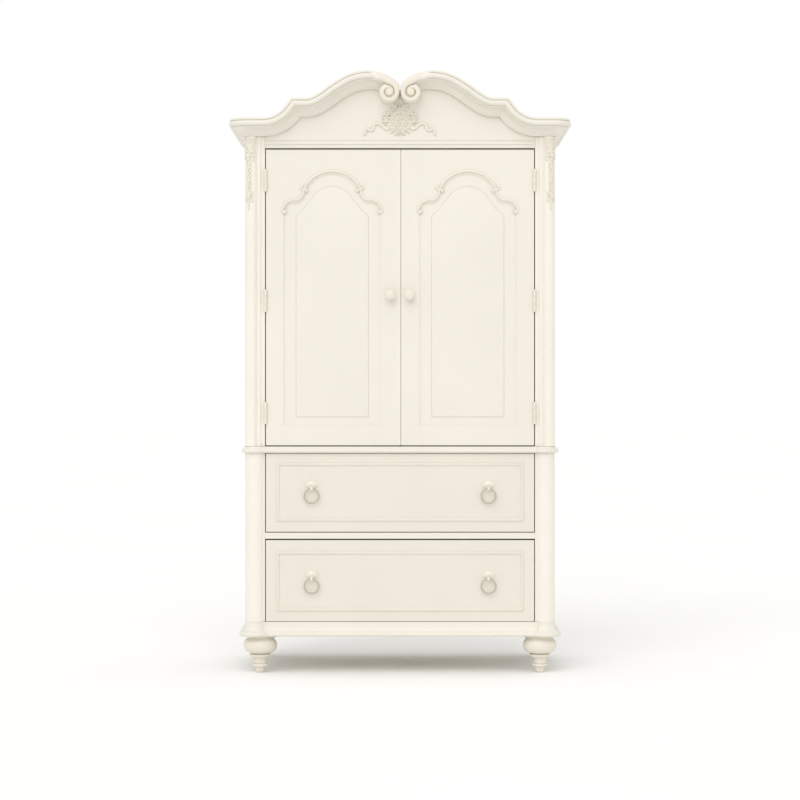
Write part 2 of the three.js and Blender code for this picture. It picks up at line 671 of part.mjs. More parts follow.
// An oval backplate with an eye that the ring passes through.
function pullPlate(x, ringCentre) {
  const pivot = ringCentre + RING.radius;
  const plate = turned([[0, 0], [15, 0], [15, 2], [11, 5], [0, 5]], 16).rotateX(Math.PI / 2);
  plate.scale(PLATE_WIDENING, 1, 1).translate(x, FACE - GAP, pivot + 13);
  const eye = new THREE.CylinderGeometry(6.5, 6.5, 8, 12).rotateZ(Math.PI / 2).translate(x, RING.y, pivot);
  const stem = block([x - 4, x + 4], [RING.y, FACE - GAP], [pivot, pivot + 6]);
  const hole = new THREE.CylinderGeometry(3.8, 3.8, 12, 12).rotateZ(Math.PI / 2).translate(x, RING.y, pivot);
  return cut(joined(plate, eye, stem), hole);
}

function pullRing(x, ringCentre) {
  const { radius, wire, y } = RING;
  const ring = new THREE.TorusGeometry(radius, wire, 6, 20).rotateX(Math.PI / 2);
  return facingOut(ring.translate(x, y, ringCentre));
}

function addDrawers() {
  for (const [drawer, sizes] of Object.entries(DRAWERS)) {
    place(`${drawer}_drawer_front`, drawerFront(sizes), SHADED_PAINT);
    place(`${drawer}_drawer_box`, drawerBox(sizes), DRAWER_WOOD);
    for (const [side, sign] of [["left", -1], ["right", 1]]) {
      place(`${drawer}_${side}_pull_plate`, pullPlate(sign * PULL_X, sizes.ring), PAINTED_METAL);
      place(`${drawer}_${side}_pull_ring`, pullRing(sign * PULL_X, sizes.ring), PAINTED_METAL);
    }
  }
}

addCase();
addPosts();
addWaist();
addBase();
addFeet();
addPediment();
addAppliques();
addDoors();
addDrawers();

export default armoire;
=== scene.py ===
"""The looks of an antique-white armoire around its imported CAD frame.

Outlines are in millimetres, in the frame's axes: +X right, -Y towards the viewer, +Z up.
Each piece is built as a skin, a list of points and a list of faces, and turned into metres last.
"""

import math

import bmesh
import bpy
from mathutils import Matrix, Vector
from mathutils.geometry import tessellate_polygon


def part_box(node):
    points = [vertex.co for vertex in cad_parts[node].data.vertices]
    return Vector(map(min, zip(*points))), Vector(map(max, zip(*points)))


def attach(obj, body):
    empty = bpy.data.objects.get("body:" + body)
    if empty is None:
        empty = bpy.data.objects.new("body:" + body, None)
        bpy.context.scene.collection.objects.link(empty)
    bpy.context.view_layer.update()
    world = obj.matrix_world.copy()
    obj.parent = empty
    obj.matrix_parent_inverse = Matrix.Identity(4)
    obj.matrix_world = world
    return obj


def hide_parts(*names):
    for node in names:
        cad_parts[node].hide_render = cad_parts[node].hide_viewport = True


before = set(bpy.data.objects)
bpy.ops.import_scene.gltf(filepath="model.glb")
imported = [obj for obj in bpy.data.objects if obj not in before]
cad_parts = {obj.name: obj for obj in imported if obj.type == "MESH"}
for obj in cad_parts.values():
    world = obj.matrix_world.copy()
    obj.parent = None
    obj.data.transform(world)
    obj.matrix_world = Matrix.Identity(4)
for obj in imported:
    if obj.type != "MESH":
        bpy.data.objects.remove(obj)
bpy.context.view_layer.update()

MM = 0.001
SIDES = (("left", -1), ("right", 1))


def cad(node):
    """Lowest and highest corner of a CAD node, in millimetres."""
    low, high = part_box(node)
    return low / MM, high / MM


# ---- Driving dimensions, from the frame ----
FACE = cad("right_door_frame")[0].y
POST_OUTER = -cad("lower_post_left")[0].x
POST_INNER = -cad("lower_post_left")[1].x
POST_BACK = cad("lower_post_left")[1].y
BACK = cad("cornice_left")[1].y
CORNICE_BOTTOM = cad("cornice_left")[0].z
CORNICE_PROUD = FACE - cad("cornice_left")[0].y
CORNICE_HEIGHT = 55
SIDE_OUTER = -cad("side_panel_left")[0].x
POST_PROUD = 13
LOWER_POST_RADIUS = 33
UPPER_POST_RADIUS = 22
LOWER_POST_CENTRE = (-POST_OUTER + LOWER_POST_RADIUS, FACE - POST_PROUD + LOWER_POST_RADIUS)
UPPER_POST_CENTRE = (-POST_OUTER + UPPER_POST_RADIUS, FACE - POST_PROUD + UPPER_POST_RADIUS)
PANEL_CENTRE = -(cad("left_door_panel")[0].x + cad("left_door_panel")[1].x) / 2
GAP = 0.3
CENTRE_GAP = 1.4
HINGE_AXIS = (-432, FACE - 5)
RING_WIRE = 2.75
DRAWER_BEADS = {"top": (488, 678), "bottom": (199, 393)}
DRAWER_BEAD_HALF_WIDTH = 398


# ---- Outlines ----
def arc(centre, radius, start, end, steps):
    """Points of an arc. Angles are in degrees from the first axis, and radius may be a pair."""
    across, up = radius if isinstance(radius, tuple) else (radius, radius)
    angles = [math.radians(start + (end - start) * i / steps) for i in range(steps + 1)]
    return [(centre[0] + across * math.cos(a), centre[1] + up * math.sin(a)) for a in angles]


def curl(centre, start, end, first, last, steps):
    """Points of a spiral whose radius goes evenly from first to last."""
    points = []
    for i in range(steps + 1):
        t = i / steps
        a = math.radians(start + (end - start) * t)
        radius = first + (last - first) * t
        points.append((centre[0] + radius * math.cos(a), centre[1] + radius * math.sin(a)))
    return points


def smooth_curve(knots, per_span):
    """A Catmull-Rom curve through the knots."""
    points = []
    padded = [knots[0], *knots, knots[-1]]
    for i in range(1, len(knots)):
        p0, p1, p2, p3 = (Vector(p) for p in padded[i - 1 : i + 3])
        for step in range(per_span):
            t = step / per_span
            points.append(
                0.5 * (2 * p1 + (p2 - p0) * t + (2 * p0 - 5 * p1 + 4 * p2 - p3) * t**2
                       + (3 * p1 - p0 - 3 * p2 + p3) * t**3)
            )
    points.append(Vector(knots[-1]))
    return [tuple(p) for p in points]


def mirror_x(outline):
    return [(-x, *rest) for x, *rest in reversed(outline)]


def moved(outline, shift):
    return [(x + shift, z) for x, z in outline]


def left_normals(path, closed=False):
    """Vectors to the left of the path, lengthened at corners so that a moulding keeps its width."""
    normals = []
    count = len(path)
    for i, here in enumerate(path):
        before = path[i - 1] if closed or i else here
        after = path[(i + 1) % count] if closed or i < count - 1 else here
        arriving = Vector(here) - Vector(before)
        leaving = Vector(after) - Vector(here)
        arriving = (arriving if arriving.length else leaving).normalized()
        leaving = (leaving if leaving.length else arriving).normalized()
        along = (arriving + leaving).normalized()
        normals.append(Vector((-along.y, along.x)) / max(along.dot(leaving), 0.3))
    return normals


def offset(outline, distance):
    """A closed outline moved to its left by distance: inwards where it runs anticlockwise."""
    normals = left_normals(outline, closed=True)
    return [(x + n.x * distance, z + n.y * distance) for (x, z), n in zip(outline, normals)]


# ---- Skins ----
def loft(rings, closed=False, caps=True):
    size = len(rings[0])
    points = [point for ring in rings for point in ring]
    faces = []
    for i in range(len(rings) if closed else len(rings) - 1):
        a, b = i * size, (i + 1) % len(rings) * size
        faces += [(a + j, a + (j + 1) % size, b + (j + 1) % size, b + j) for j in range(size)]
    if caps and not closed:
        faces.append(tuple(range(size)))
        faces.append(tuple(range(len(points) - size, len(points))))
    return points, faces


def together(*skins):
    points, faces = [], []
    for more_points, more_faces in skins:
        start = len(points)
        points += more_points
        faces += [tuple(start + i for i in face) for face in more_faces]
    return points, faces


def mirrored(skin):
    points, faces = skin
    return [(-x, y, z) for x, y, z in points], [tuple(reversed(face)) for face in faces]


def on_side(skin, sign):
    """A piece made for the left side, or its mirror image for the right side."""
    return skin if sign < 0 else mirrored(skin)


def shifted(skin, dx=0, dy=0, dz=0):
    points, faces = skin
    return [(x + dx, y + dy, z + dz) for x, y, z in points], faces


def from_above(outline, low, high, ease=0.8):
    """A plan outline as an upright piece with eased ends."""
    inner = offset(outline, ease)
    rings = [(inner, low), (outline, low + ease), (outline, high - ease), (inner, high)]
    return loft([[(x, y, z) for x, y in ring] for ring, z in rings])


def front_ring(outline, y):
    return [(x, y, z) for x, z in outline]


def plate_with_opening(outer, inner):
    """A plate with a shaped edge and a shaped opening. outer runs over the edge from back to front,
    inner through the opening from front to back; each is a list of rings."""
    edge, edge_faces = loft(outer, caps=False)
    hole, hole_faces = loft(inner, caps=False)
    points, faces = together((edge, edge_faces), (hole, hole_faces))
    for rim, mouth, rim_start, mouth_start in (
        (outer[-1], inner[0], len(edge) - len(outer[-1]), len(edge)),
        (outer[0], inner[-1], 0, len(points) - len(inner[-1])),
    ):
        flat = [[Vector((x, z, 0)) for x, _, z in loop] for loop in (rim, mouth)]
        names = [rim_start + i for i in range(len(rim))]
        names += [mouth_start + i for i in range(len(mouth))]
        faces += [tuple(names[i] for i in triangle) for triangle in tessellate_polygon(flat)]
    return points, faces


def rectangle(x0, x1, z0, z1, inset=0):
    x0, x1, z0, z1 = x0 + inset, x1 - inset, z0 + inset, z1 - inset
    return [(x0, z0), (x1, z0), (x1, z1), (x0, z1)]


def board(low, high, ease=1.2):
    """A board with rounded edges, between two corners."""
    rings = []
    for y, inset in ((low[1], ease), (low[1] + ease * 0.3, ease * 0.3), (low[1] + ease, 0),
                     (high[1] - ease, 0), (high[1] - ease * 0.3, ease * 0.3), (high[1], ease)):
        rings.append(front_ring(rectangle(low[0], high[0], low[2], high[2], inset), y))
    return loft(rings)


def turned(profile, segments=48, axis="z", lobes=0, lobe_depth=0.0):
    """A turned piece about an axis through the origin. profile is (radius, height) points, and
    lobes gives the rim a scalloped edge."""
    rings = []
    for radius, height in profile:
        ring = []
        for i in range(segments):
            a = 2 * math.pi * i / segments
            r = radius * (1 + lobe_depth * math.cos(lobes * a))
            ring.append((r * math.cos(a), r * math.sin(a), height))
        rings.append(ring)
    points, faces = loft(rings)
    if axis == "front":
        points = [(x, -z, y) for x, y, z in points]
    if axis == "x":
        points = [(z, x, y) for x, y, z in points]
    return points, faces


def turned_ring(section, segments):
    """A ring about the x axis. section goes round it once and stays clear of the axis."""
    points, faces = turned(section, segments, "x")
    last = len(points) - segments
    closing = [(last + (j + 1) % segments, last + j, j, (j + 1) % segments) for j in range(segments)]
    return points, faces[:-2] + closing


def front_moulding(path, profile, y, closed=False, widths=None):
    """A moulding along a front-view path. profile is (across, proud) points, across to the left of
    the path. widths may narrow it from point to point."""
    normals = left_normals(path, closed)
    rings = []
    for i, (x, z) in enumerate(path):
        scale = widths[i] if widths else 1
        rings.append(
            [(x + normals[i].x * a * scale, y - p * (0.45 + 0.55 * scale), z + normals[i].y * a * scale)
             for a, p in profile]
        )
    return loft(rings, closed)


# ---- Pieces ----
def make_mesh(name, skin, sharp=38):
    """A mesh object from a skin, smooth except at edges over the sharp angle in degrees."""
    points, faces = skin
    shape = bmesh.new()
    corners = [shape.verts.new(Vector(p) * MM) for p in points]
    for face in faces:
        if len(set(face)) > 2 and not shape.faces.get([corners[i] for i in face]):
            shape.faces.new([corners[i] for i in face])
    bmesh.ops.remove_doubles(shape, verts=shape.verts, dist=1e-6)
    bmesh.ops.dissolve_degenerate(shape, edges=shape.edges, dist=1e-7)
    bmesh.ops.recalc_face_normals(shape, faces=shape.faces)
    for face in shape.faces:
        face.smooth = True
    for edge in shape.edges:
        edge.smooth = len(edge.link_faces) == 2 and edge.calc_face_angle(0) < math.radians(sharp)
    mesh = bpy.data.meshes.new(name)
    shape.to_mesh(mesh)
    shape.free()
    piece = bpy.data.objects.new(name, mesh)
    bpy.context.scene.collection.objects.link(piece)
    return piece


def add(name, skin, body, look, replaces=(), sharp=38):
    piece = make_mesh(name, skin, sharp)
    piece.data.materials.append(look)
    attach(piece, body)
    if replaces:
        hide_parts(*replaces)
    return piece


# ---- Materials ----
def node_material(name):
    material = bpy.data.materials.new(name)
    material.use_nodes = True
    nodes = material.node_tree.nodes
    return material, nodes, material.node_tree.links.new, nodes["Principled BSDF"]


def noise(nodes, link, scale, detail=4.0, stretch=(1, 1, 1)):
    mapping = nodes.new("ShaderNodeMapping")
    mapping.inputs["Scale"].default_value = stretch
    link(nodes.new("ShaderNodeTexCoord").outputs["Object"], mapping.inputs["Vector"])
    texture = nodes.new("ShaderNodeTexNoise")
    texture.inputs["Scale"].default_value = scale
    texture.inputs["Detail"].default_value = detail
    link(mapping.outputs["Vector"], texture.inputs["Vector"])
    return texture.outputs["Fac"]


def ramp(nodes, link, value, *stops):
    element_ramp = nodes.new("ShaderNodeValToRGB")
    elements = element_ramp.color_ramp.elements
    while len(elements) < len(stops):
        elements.new(0.5)
    for element, (position, colour) in zip(elements, stops):
        element.position = position
        element.color = (*colour, 1) if isinstance(colour, tuple) else (colour, colour, colour, 1)
    link(value, element_ramp.inputs["Fac"])
    return element_ramp.outputs["Color"]


def blend_colours(nodes, link, factor, first, second, mode="MIX"):
    mix = nodes.new("ShaderNodeMix")
    mix.data_type = "RGBA"
    mix.blend_type = mode
    for socket, value in ((mix.inputs[0], factor), (mix.inputs[6], first), (mix.inputs[7], second)):
        if isinstance(value, bpy.types.NodeSocket):
            link(value, socket)
        elif isinstance(value, tuple):
            socket.default_value = (*value, 1)
        else:
            socket.default_value = value
    return mix.outputs[2]


def occlusion(nodes, link, distance, samples, inside=False):
    shade = nodes.new("ShaderNodeAmbientOcclusion")
    shade.inside = inside
    shade.inputs["Distance"].default_value = distance
    shade.samples = samples
    return shade.outputs["AO"]


def bump(nodes, link, height, strength, distance, under=None):
    """A bump from height, laid over the bump whose normal is under."""
    relief = nodes.new("ShaderNodeBump")
    relief.inputs["Strength"].default_value = strength
    relief.inputs["Distance"].default_value = distance
    link(height, relief.inputs["Height"])
    if under is not None:
        link(under, relief.inputs["Normal"])
    return relief.outputs["Normal"]


IVORY = (0.80, 0.768, 0.682)
# A lighter paint for the posts: a painted highlight for light falling on their rounds.
POST_HIGHLIGHT_IVORY = (0.85, 0.812, 0.728)
# Colour of the recess darkening: part glazing, part painted shade.
GLAZE_AND_SHADE = (0.50, 0.42, 0.28)
# Colour of the lightened edges: part paint wear, part painted highlight.
WORN_EDGE_HIGHLIGHT = (0.95, 0.92, 0.84)
DARK_GRAIN = (0.46, 0.30, 0.15)
WOOD_BROWN = (0.62, 0.44, 0.25)
PALE_GRAIN = (0.72, 0.55, 0.34)


def paint(name, colour=IVORY, grain=(1, 1, 0.06), glaze_and_shade=0.3, rough=0.42, reach=0.006):
    """Brushed satin paint over wood: faint cloudy tone, warm glazing with painted shade in recesses,
    edges lightened as wear and painted highlight, and brush lines along the grain."""
    material, nodes, link, shader = node_material(name)
    clouds = ramp(nodes, link, noise(nodes, link, 3.5), (0.3, 0.965), (0.7, 1.0))
    body = blend_colours(nodes, link, 1.0, colour, clouds, "MULTIPLY")
    streaks = ramp(nodes, link, noise(nodes, link, 240, 5, grain), (0.3, 0.985), (0.7, 1.0))
    body = blend_colours(nodes, link, 1.0, body, streaks, "MULTIPLY")

    # Painted shade: occlusion darkens recesses towards the glazing colour, part real glazing and part shade
    # where less light reaches.
    recess_shade_and_glaze = ramp(nodes, link, occlusion(nodes, link, reach, 6), (0.25, 1.0), (0.9, 0.0))
    patchy = ramp(nodes, link, noise(nodes, link, 45, 3), (0.25, 0.35), (0.75, 1.0))
    amount = blend_colours(nodes, link, 1.0, recess_shade_and_glaze, patchy, "MULTIPLY")
    weight = nodes.new("ShaderNodeMath")
    weight.operation = "MULTIPLY"
    weight.inputs[1].default_value = glaze_and_shade
    link(amount, weight.inputs[0])
    shaded_and_glazed = blend_colours(nodes, link, weight.outputs[0], body, GLAZE_AND_SHADE)

    # Painted highlight: convex edges are lightened, part paint wear and part highlight.
    edges = occlusion(nodes, link, 0.0016, 4, inside=True)
    edge_wear_and_highlight = ramp(nodes, link, edges, (0.2, 0.45), (0.7, 0.0))
    link(blend_colours(nodes, link, edge_wear_and_highlight, shaded_and_glazed, WORN_EDGE_HIGHLIGHT), shader.inputs["Base Color"])

    sheen = ramp(nodes, link, noise(nodes, link, 18, 3), (0.3, rough - 0.05), (0.7, rough + 0.07))
    link(sheen, shader.inputs["Roughness"])
    shader.inputs["Specular IOR Level"].default_value = 0.45

    brush = bump(nodes, link, noise(nodes, link, 420, 6, grain), 0.08, 0.0004)
    peel = bump(nodes, link, noise(nodes, link, 130, 2), 0.06, 0.0006, brush)
    link(peel, shader.inputs["Normal"])
    return material


def bare_wood(name, grain=(1, 0.07, 1)):
    """Pale hardwood under clear lacquer, with long grain and darker pores."""
    material, nodes, link, shader = node_material(name)
    lines = noise(nodes, link, 26, 8, grain)
    tone = ramp(nodes, link, lines, (0.3, DARK_GRAIN), (0.5, WOOD_BROWN), (0.72, PALE_GRAIN))
    pores = ramp(nodes, link, noise(nodes, link, 300, 4, grain), (0.36, 0.72), (0.46, 1.0))
    link(blend_colours(nodes, link, 1.0, tone, pores, "MULTIPLY"), shader.inputs["Base Color"])
    link(ramp(nodes, link, lines, (0.3, 0.5), (0.7, 0.38)), shader.inputs["Roughness"])
    link(bump(nodes, link, pores, 0.2, 0.0004), shader.inputs["Normal"])
    return material


UPRIGHT = paint("paint_upright")
# The posts take the lighter paint as a painted highlight.
POST_PAINT_HIGHLIGHT = paint("paint_posts_highlight", colour=POST_HIGHLIGHT_IVORY)
LEVEL = paint("paint_level", grain=(0.06, 1, 1))
# Carving and hardware take more recess darkening: painted shade as well as glazing.
CARVED = paint("paint_carved", (0.80, 0.755, 0.655), (1, 1, 1), glaze_and_shade=0.85, reach=0.007)
DRAWER_PAINT = paint("paint_drawer", (0.768, 0.732, 0.646), (0.06, 1, 1))
INSIDE = paint("paint_inside", (0.74, 0.69, 0.585), (1, 0.06, 1), rough=0.55)
ENAMEL = paint("enamel_hardware", (0.79, 0.752, 0.66), (1, 1, 1), 0.6, 0.36, 0.003)
# A darker enamel for the pull rings.
DARK_RING_ENAMEL = paint("enamel_rings", (0.49, 0.465, 0.385), (1, 1, 1), 0.4, 0.34, 0.003)
# Grain from front to back, and from side to side.
WOOD = bare_wood("drawer_wood")
CROSS_WOOD = bare_wood("rod_wood", grain=(0.07, 1, 1))


# ---- Carcass boards, kept as CAD nodes ----
def dress_boards():
    looks = {
        "side_panel_left": UPRIGHT, "side_panel_right": UPRIGHT, "back_panel": INSIDE, "bottom_panel": INSIDE,
        "top_panel": INSIDE, "cupboard_shelf": INSIDE, "cupboard_floor": INSIDE, "drawer_rail": LEVEL,
        "top_drawer_guide": WOOD, "bottom_drawer_guide": WOOD,
    }
    for node, look in looks.items():
        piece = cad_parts[node]
        piece.data.materials.clear()
        piece.data.materials.append(look)
        ease = piece.modifiers.new("eased_edges", "BEVEL")
        ease.width = 0.0008
        ease.segments = 2
        ease.limit_method = "ANGLE"


def add_rod():
    low, high = cad("clothes_rod")
    middle = (low + high) / 2
    radius = (high.z - low.z) / 2
    length = high.x - low.x
    profile = [(0, 0), (radius - 1, 0), (radius, 1), (radius, length - 1), (radius - 1, length),
               (0, length)]
    rod = shifted(turned(profile, 40, "x"), low.x, middle.y, middle.z)
    add("clothes_rod_turned", rod, "carcass", CROSS_WOOD, ["clothes_rod"])
    section = [(radius + GAP, 0), (radius + 7, 0), (radius + 7, 2), (radius + 3, 3.5), (radius + 3, 11),
               (radius + 2, 12), (radius + GAP, 12)]
    cup = shifted(turned_ring(section, 40), low.x, middle.y, middle.z)
    for side, sign in SIDES:
        add(f"rod_socket_{side}", on_side(cup, sign), "carcass", ENAMEL)


# ---- Posts and mouldings ----
def lower_post_outline():
    meets = math.degrees(math.acos((LOWER_POST_RADIUS - POST_PROUD) / LOWER_POST_RADIUS))
    return [
        (-POST_OUTER, POST_BACK),
        *arc(LOWER_POST_CENTRE, LOWER_POST_RADIUS, 180, 270 + meets, 36),
        (-POST_INNER - 1, FACE),
        (-POST_INNER, FACE + 1),
        (-POST_INNER, POST_BACK),
    ]


def upper_post_outline():
    """A round post, a quirk, a flattened bead and a flat stile."""
    bead = -POST_INNER - 19
    return [
        (-POST_OUTER, POST_BACK),
        *arc(UPPER_POST_CENTRE, UPPER_POST_RADIUS, 180, 308, 30),
        (bead - 8.6, FACE - 4.4),
        (bead - 7, FACE - 3.9),
        (bead - 5.9, FACE - 3.9),
        *arc((bead, FACE - 2.2), (5.4, 3), 205, 345, 14),
        (bead + 6.1, FACE - 0.9),
        (bead + 7.6, FACE),
        (-POST_INNER - 1, FACE),
        (-POST_INNER, FACE + 1),
        (-POST_INNER, POST_BACK),
    ]


def add_posts():
    for level, outline in (("lower", lower_post_outline()), ("upper", upper_post_outline())):
        low, high = cad(f"{level}_post_left")
        skin = from_above(outline, low.z, high.z, 0.4)
        for side, sign in SIDES:
            name = f"{level}_post_turned_{side}"
            add(name, on_side(skin, sign), "carcass", POST_PAINT_HIGHLIGHT, [f"{level}_post_{side}"])


def nose_path(overhang, run_proud):
    """Left half of the line that a moulding's nose follows in plan, with the zone of each point."""
    reverse = 25
    radius = LOWER_POST_RADIUS + overhang
    run = FACE - run_proud
    centre = LOWER_POST_CENTRE
    drop = centre[1] - (run - reverse)
    shift = math.sqrt((radius + reverse) ** 2 - drop**2)
    meets = -math.degrees(math.atan2(drop, shift))
    side = centre[0] - radius
    bend = (centre[0] + shift, run - reverse)
    stations = [((side, BACK), "side"), ((side, POST_BACK), "side"), ((side, POST_BACK - 0.3), "post")]
    stations += [(at, "post") for at in arc(centre, radius, 180, 360 + meets, 30)]
    stations += [(at, "front") for at in arc(bend, reverse, 179.5 + meets, 90, 10)]
    stations.append(((bend[0] + 2, run), "front"))
    return stations


def wrap_moulding(half, profiles, bottom):
    stations = half + [((-at[0], at[1]), zone) for at, zone in reversed(half)]
    inwards = left_normals([at for at, _ in stations])
    rings = []
    for (at, zone), n in zip(stations, inwards):
        rings.append([(at[0] + n.x * inward, at[1] + n.y * inward, bottom + height)
                      for inward, height in profiles[zone]])
    return loft(rings)


def add_waist():
    low, high = cad("waist_moulding")
    tall = high.z - low.z
    overhang = high.x - POST_OUTER
    nose = [(5.4, 0), (4.8, 0.8), *arc((6, 7), (6, 6), 245, 110, 14), (5.2, 13), (5.6, 13.4),
            *arc((10.4, 13.6), (4.4, 5.6), 178, 95, 8), (10.6, tall - 0.5), (11.4, tall)]
    backs = {"side": overhang + POST_OUTER - SIDE_OUTER - GAP, "post": overhang + 25, "front": overhang - GAP}
    profiles = {zone: [(back, 0), *nose, (back, tall)] for zone, back in backs.items()}
    skin = wrap_moulding(nose_path(overhang, overhang), profiles, low.z)
    add("waist_moulding_run", skin, "carcass", LEVEL, ["waist_moulding"])


def add_base():
    low, high = cad("base_moulding")
    tall = high.z - low.z
    overhang = high.x - POST_OUTER
    apron_proud = 16
    nose = [(4, 0), *arc((7, 7.5), (7, 7.5), 245, 112, 16), (4.8, 14.8)]

    def cove(reach):
        """From the nose up to the foot of a post or of the bottom drawer."""
        hollow = arc((5.4, tall - 3), (reach - 5.4, tall - 18), 270, 358, 16)
        return [*nose, *hollow, (reach, tall - 2), (reach, tall)]

    faces = {
        "side": (overhang, overhang + POST_OUTER - SIDE_OUTER - GAP),
        "post": (overhang, overhang + 20),
        "front": (apron_proud, apron_proud + 36),
    }
    profiles = {zone: [(back, 0), *cove(reach), (back, tall)] for zone, (reach, back) in faces.items()}
    skin = wrap_moulding(nose_path(overhang, apron_proud), profiles, low.z)
    add("base_moulding_run", skin, "carcass", LEVEL, ["base_moulding"])


def add_feet():
    for row in ("front", "back"):
        for side, _ in SIDES:
            low, high = cad(f"foot_{row}_{side}")
            middle = (low + high) / 2
            profile = [
                (0, 0), (11.4, 0), (12.8, 0.8), (13.6, 3), (16, 13), (16.6, 15), (16.6, 17), (17, 18),
                (17.8, 18.8), *arc((19.5, 24), (6, 5), 285, 440, 10),
                *arc((29, 41), (9.5, 11.5), 225, 135, 8), (23.4, 50.2),
                *arc((28.5, 56), (6.2, 5), 280, 440, 10), (31, 61.8), (31.2, 62.8),
                *arc((31, 88), (23.5, 24.5), 285, 412, 26), (43.5, 109), (42, 111), (42, high.z),
                (0, high.z),
            ]
            foot = shifted(turned(profile, 56), middle.x, middle.y, 0)
            add(f"turned_foot_{row}_{side}", foot, "carcass", CARVED, [f"foot_{row}_{side}"])


# ---- Pediment ----
def cornice_sweep():
    radius = 146
    return arc((-440, CORNICE_BOTTOM + radius), radius, 270, 325.3, 20)


def swan_neck():
    knots = [cornice_sweep()[-1], (-284, 1790), (-254, 1800), (-225, 1817), (-192, 1841), (-155, 1864),
             (-127, 1874), (-97, 1877.5)]
    return smooth_curve(knots, 7)


def cornice_profile():
    """(across, proud) from the board up over the fillet, cove, quirk, nose and top bead."""
    proud = CORNICE_PROUD
    nose = arc((proud - 9.5, 38), (9.5, 9), -80, 62, 14)
    bead = arc((proud - 8, 50.4), (4.6, 4.2), -48, 90, 9)
    return [
        (0, GAP), (0, 13), (0.6, 13.8), (4.4, 14.2), (5, 15), (5, 16.6),
        *arc((5, 47), (19.6, 30.4), 270, 356, 14)[1:],
        (25.0, 47), (25.6, 48.8), (27.4, 49.2), (28, 48.4), (28.8, 48.2),
        *[(across, out) for out, across in nose],
        (46.4, proud - 6.4), (47, proud - 6.6), (47.4, proud - 6.2),
        *[(across, out) for out, across in bead],
        (CORNICE_HEIGHT, proud - 10), (CORNICE_HEIGHT, GAP),
    ]


SCROLL = (-34.5, 1862.5)
# The top edge from the swan neck down to the scroll, and the line inside it where the scroll's
# band begins.
CROWN = [(-97, 1930.6), (-86, 1930.2), (-75, 1928.4), (-62, 1924.6), (-49.5, 1919.6), (-37.8, 1913.6),
         (-25.6, 1907.2), (-15.4, 1900.6), (-7.6, 1892.6), (-2.8, 1882)]
BAND = [(-97, 1904), (-87, 1903.6), (-76, 1902), (-64.5, 1898.8), (-53.5, 1894), (-43, 1888),
        (-33.5, 1883.4), (-26, 1879), (-21, 1873.8), (-18.4, 1867.5)]


def cornice_skin():
    profile = cornice_profile()
    turn = 2
    corner = (cad("cornice_left")[0].x + CORNICE_PROUD + turn, FACE + turn)
    rings = []

    def plan_ring(at, angle):
        """The section at a place in plan, facing out at an angle."""
        c, d = math.cos(math.radians(angle)), math.sin(math.radians(angle))
        return [(at[0] + (turn + p) * c, at[1] + (turn + p) * d, CORNICE_BOTTOM + a) for a, p in profile]

    rings.append(plan_ring((corner[0], BACK), 180))
    rings += [plan_ring(corner, 180 + 90 * i / 16) for i in range(17)]
    path = [(corner[0] + 1, CORNICE_BOTTOM), *cornice_sweep(), *swan_neck()[1:]]
    normals = left_normals(path)
    # Past the last bend the moulding's foot turns down, its top follows the crown, and it sinks
    # behind the scroll's band.
    foot = [(-97, 1877.5), (-86, 1877.5), (-77, 1876), (-70, 1872), (-64, 1868), (-57, 1864)]
    end_sink = 7
    sinks = [0] * len(path)
    turning = smooth_curve([(*low, *high) for low, high in zip(foot, CROWN)], 5)[1:]
    for i, (x, z, top_x, top_z) in enumerate(turning):
        path.append((x, z))
        normals.append(Vector((top_x - x, top_z - z)) / CORNICE_HEIGHT)
        sinks.append(end_sink * (i + 1) / len(turning))
    for (x, z), n, sink in zip(path, normals, sinks):
        rings.append([(min(x + n.x * a, -CENTRE_GAP), FACE - max(p - sink, GAP), z + n.y * a)
                      for a, p in profile])
    return loft(rings)


def scroll_skin():
    """The volute: one rounded band that leaves the cornice's nose, runs round a disc and winds in
    to a domed boss with a dimple. Each station is the band's outer and inner edge."""
    x, z = SCROLL
    depth = CORNICE_PROUD
    stations = [(*outer, *inner) for outer, inner in zip(CROWN, BAND)]
    # Angle about the scroll's middle, outer radius, inner radius.
    winding = [(-4, 33, 17.2), (-45, 32.6, 18.2), (-90, 32.2, 18.4), (-135, 32, 16.8), (-180, 31.8, 15),
               (-212, 30, 12.6), (-240, 25.6, 11), (-265, 22, 9.6), (-290, 19.2, 8.8),
               (-320, 16.6, 8.2), (-350, 14.6, 7.8)]
    for angle, outer, inner in smooth_curve(winding, 7):
        c, d = math.cos(math.radians(angle)), math.sin(math.radians(angle))
        stations.append((x + outer * c, z + outer * d, x + inner * c, z + inner * d))
    bend = len(CROWN) + 1
    stations = smooth_curve(stations[:bend], 4) + stations[bend:]
    rings = []
    count = len(stations) - 1
    steps = 12
    start_sink, end_sink, sinks_from = 5, 4.5, 0.45
    for i, (ox, oz, ix, iz) in enumerate(stations):
        t = i / count
        rise = min(1, i / 20)
        crest = depth - start_sink * (1 - rise) - end_sink * max(0, (t - sinks_from) / (1 - sinks_from))
        edge = crest - 9.5 + 3 * t
        ring = [(ox, FACE - GAP, oz)]
        for k in range(steps + 1):
            u = k / steps
            dome = math.sqrt(max(0, 1 - (2 * u - 1) ** 2))
            ring.append((ox + (ix - ox) * u, FACE - edge - (crest - edge) * dome, oz + (iz - oz) * u))
        ring.append((ix, FACE - GAP, iz))
        rings.append(ring)
    disc = turned([(0, 0), (31, 0), (31, depth - 12), (30, depth - 10.4), (0, depth - 10.4)], 72, "front")
    dome = [(13.6, 9.5), (13, 7.6), (11.6, 5.4), (9, 3.6), (6, 2.8), (4, 2.9), (2.4, 3.8), (0, 4.4)]
    boss = turned([(0, 0), (13.6, 0), *[(r, depth - behind) for r, behind in dome]], 40, "front")
    return together(shifted(disc, x, FACE - GAP, z), loft(rings), shifted(boss, x, FACE - GAP, z))


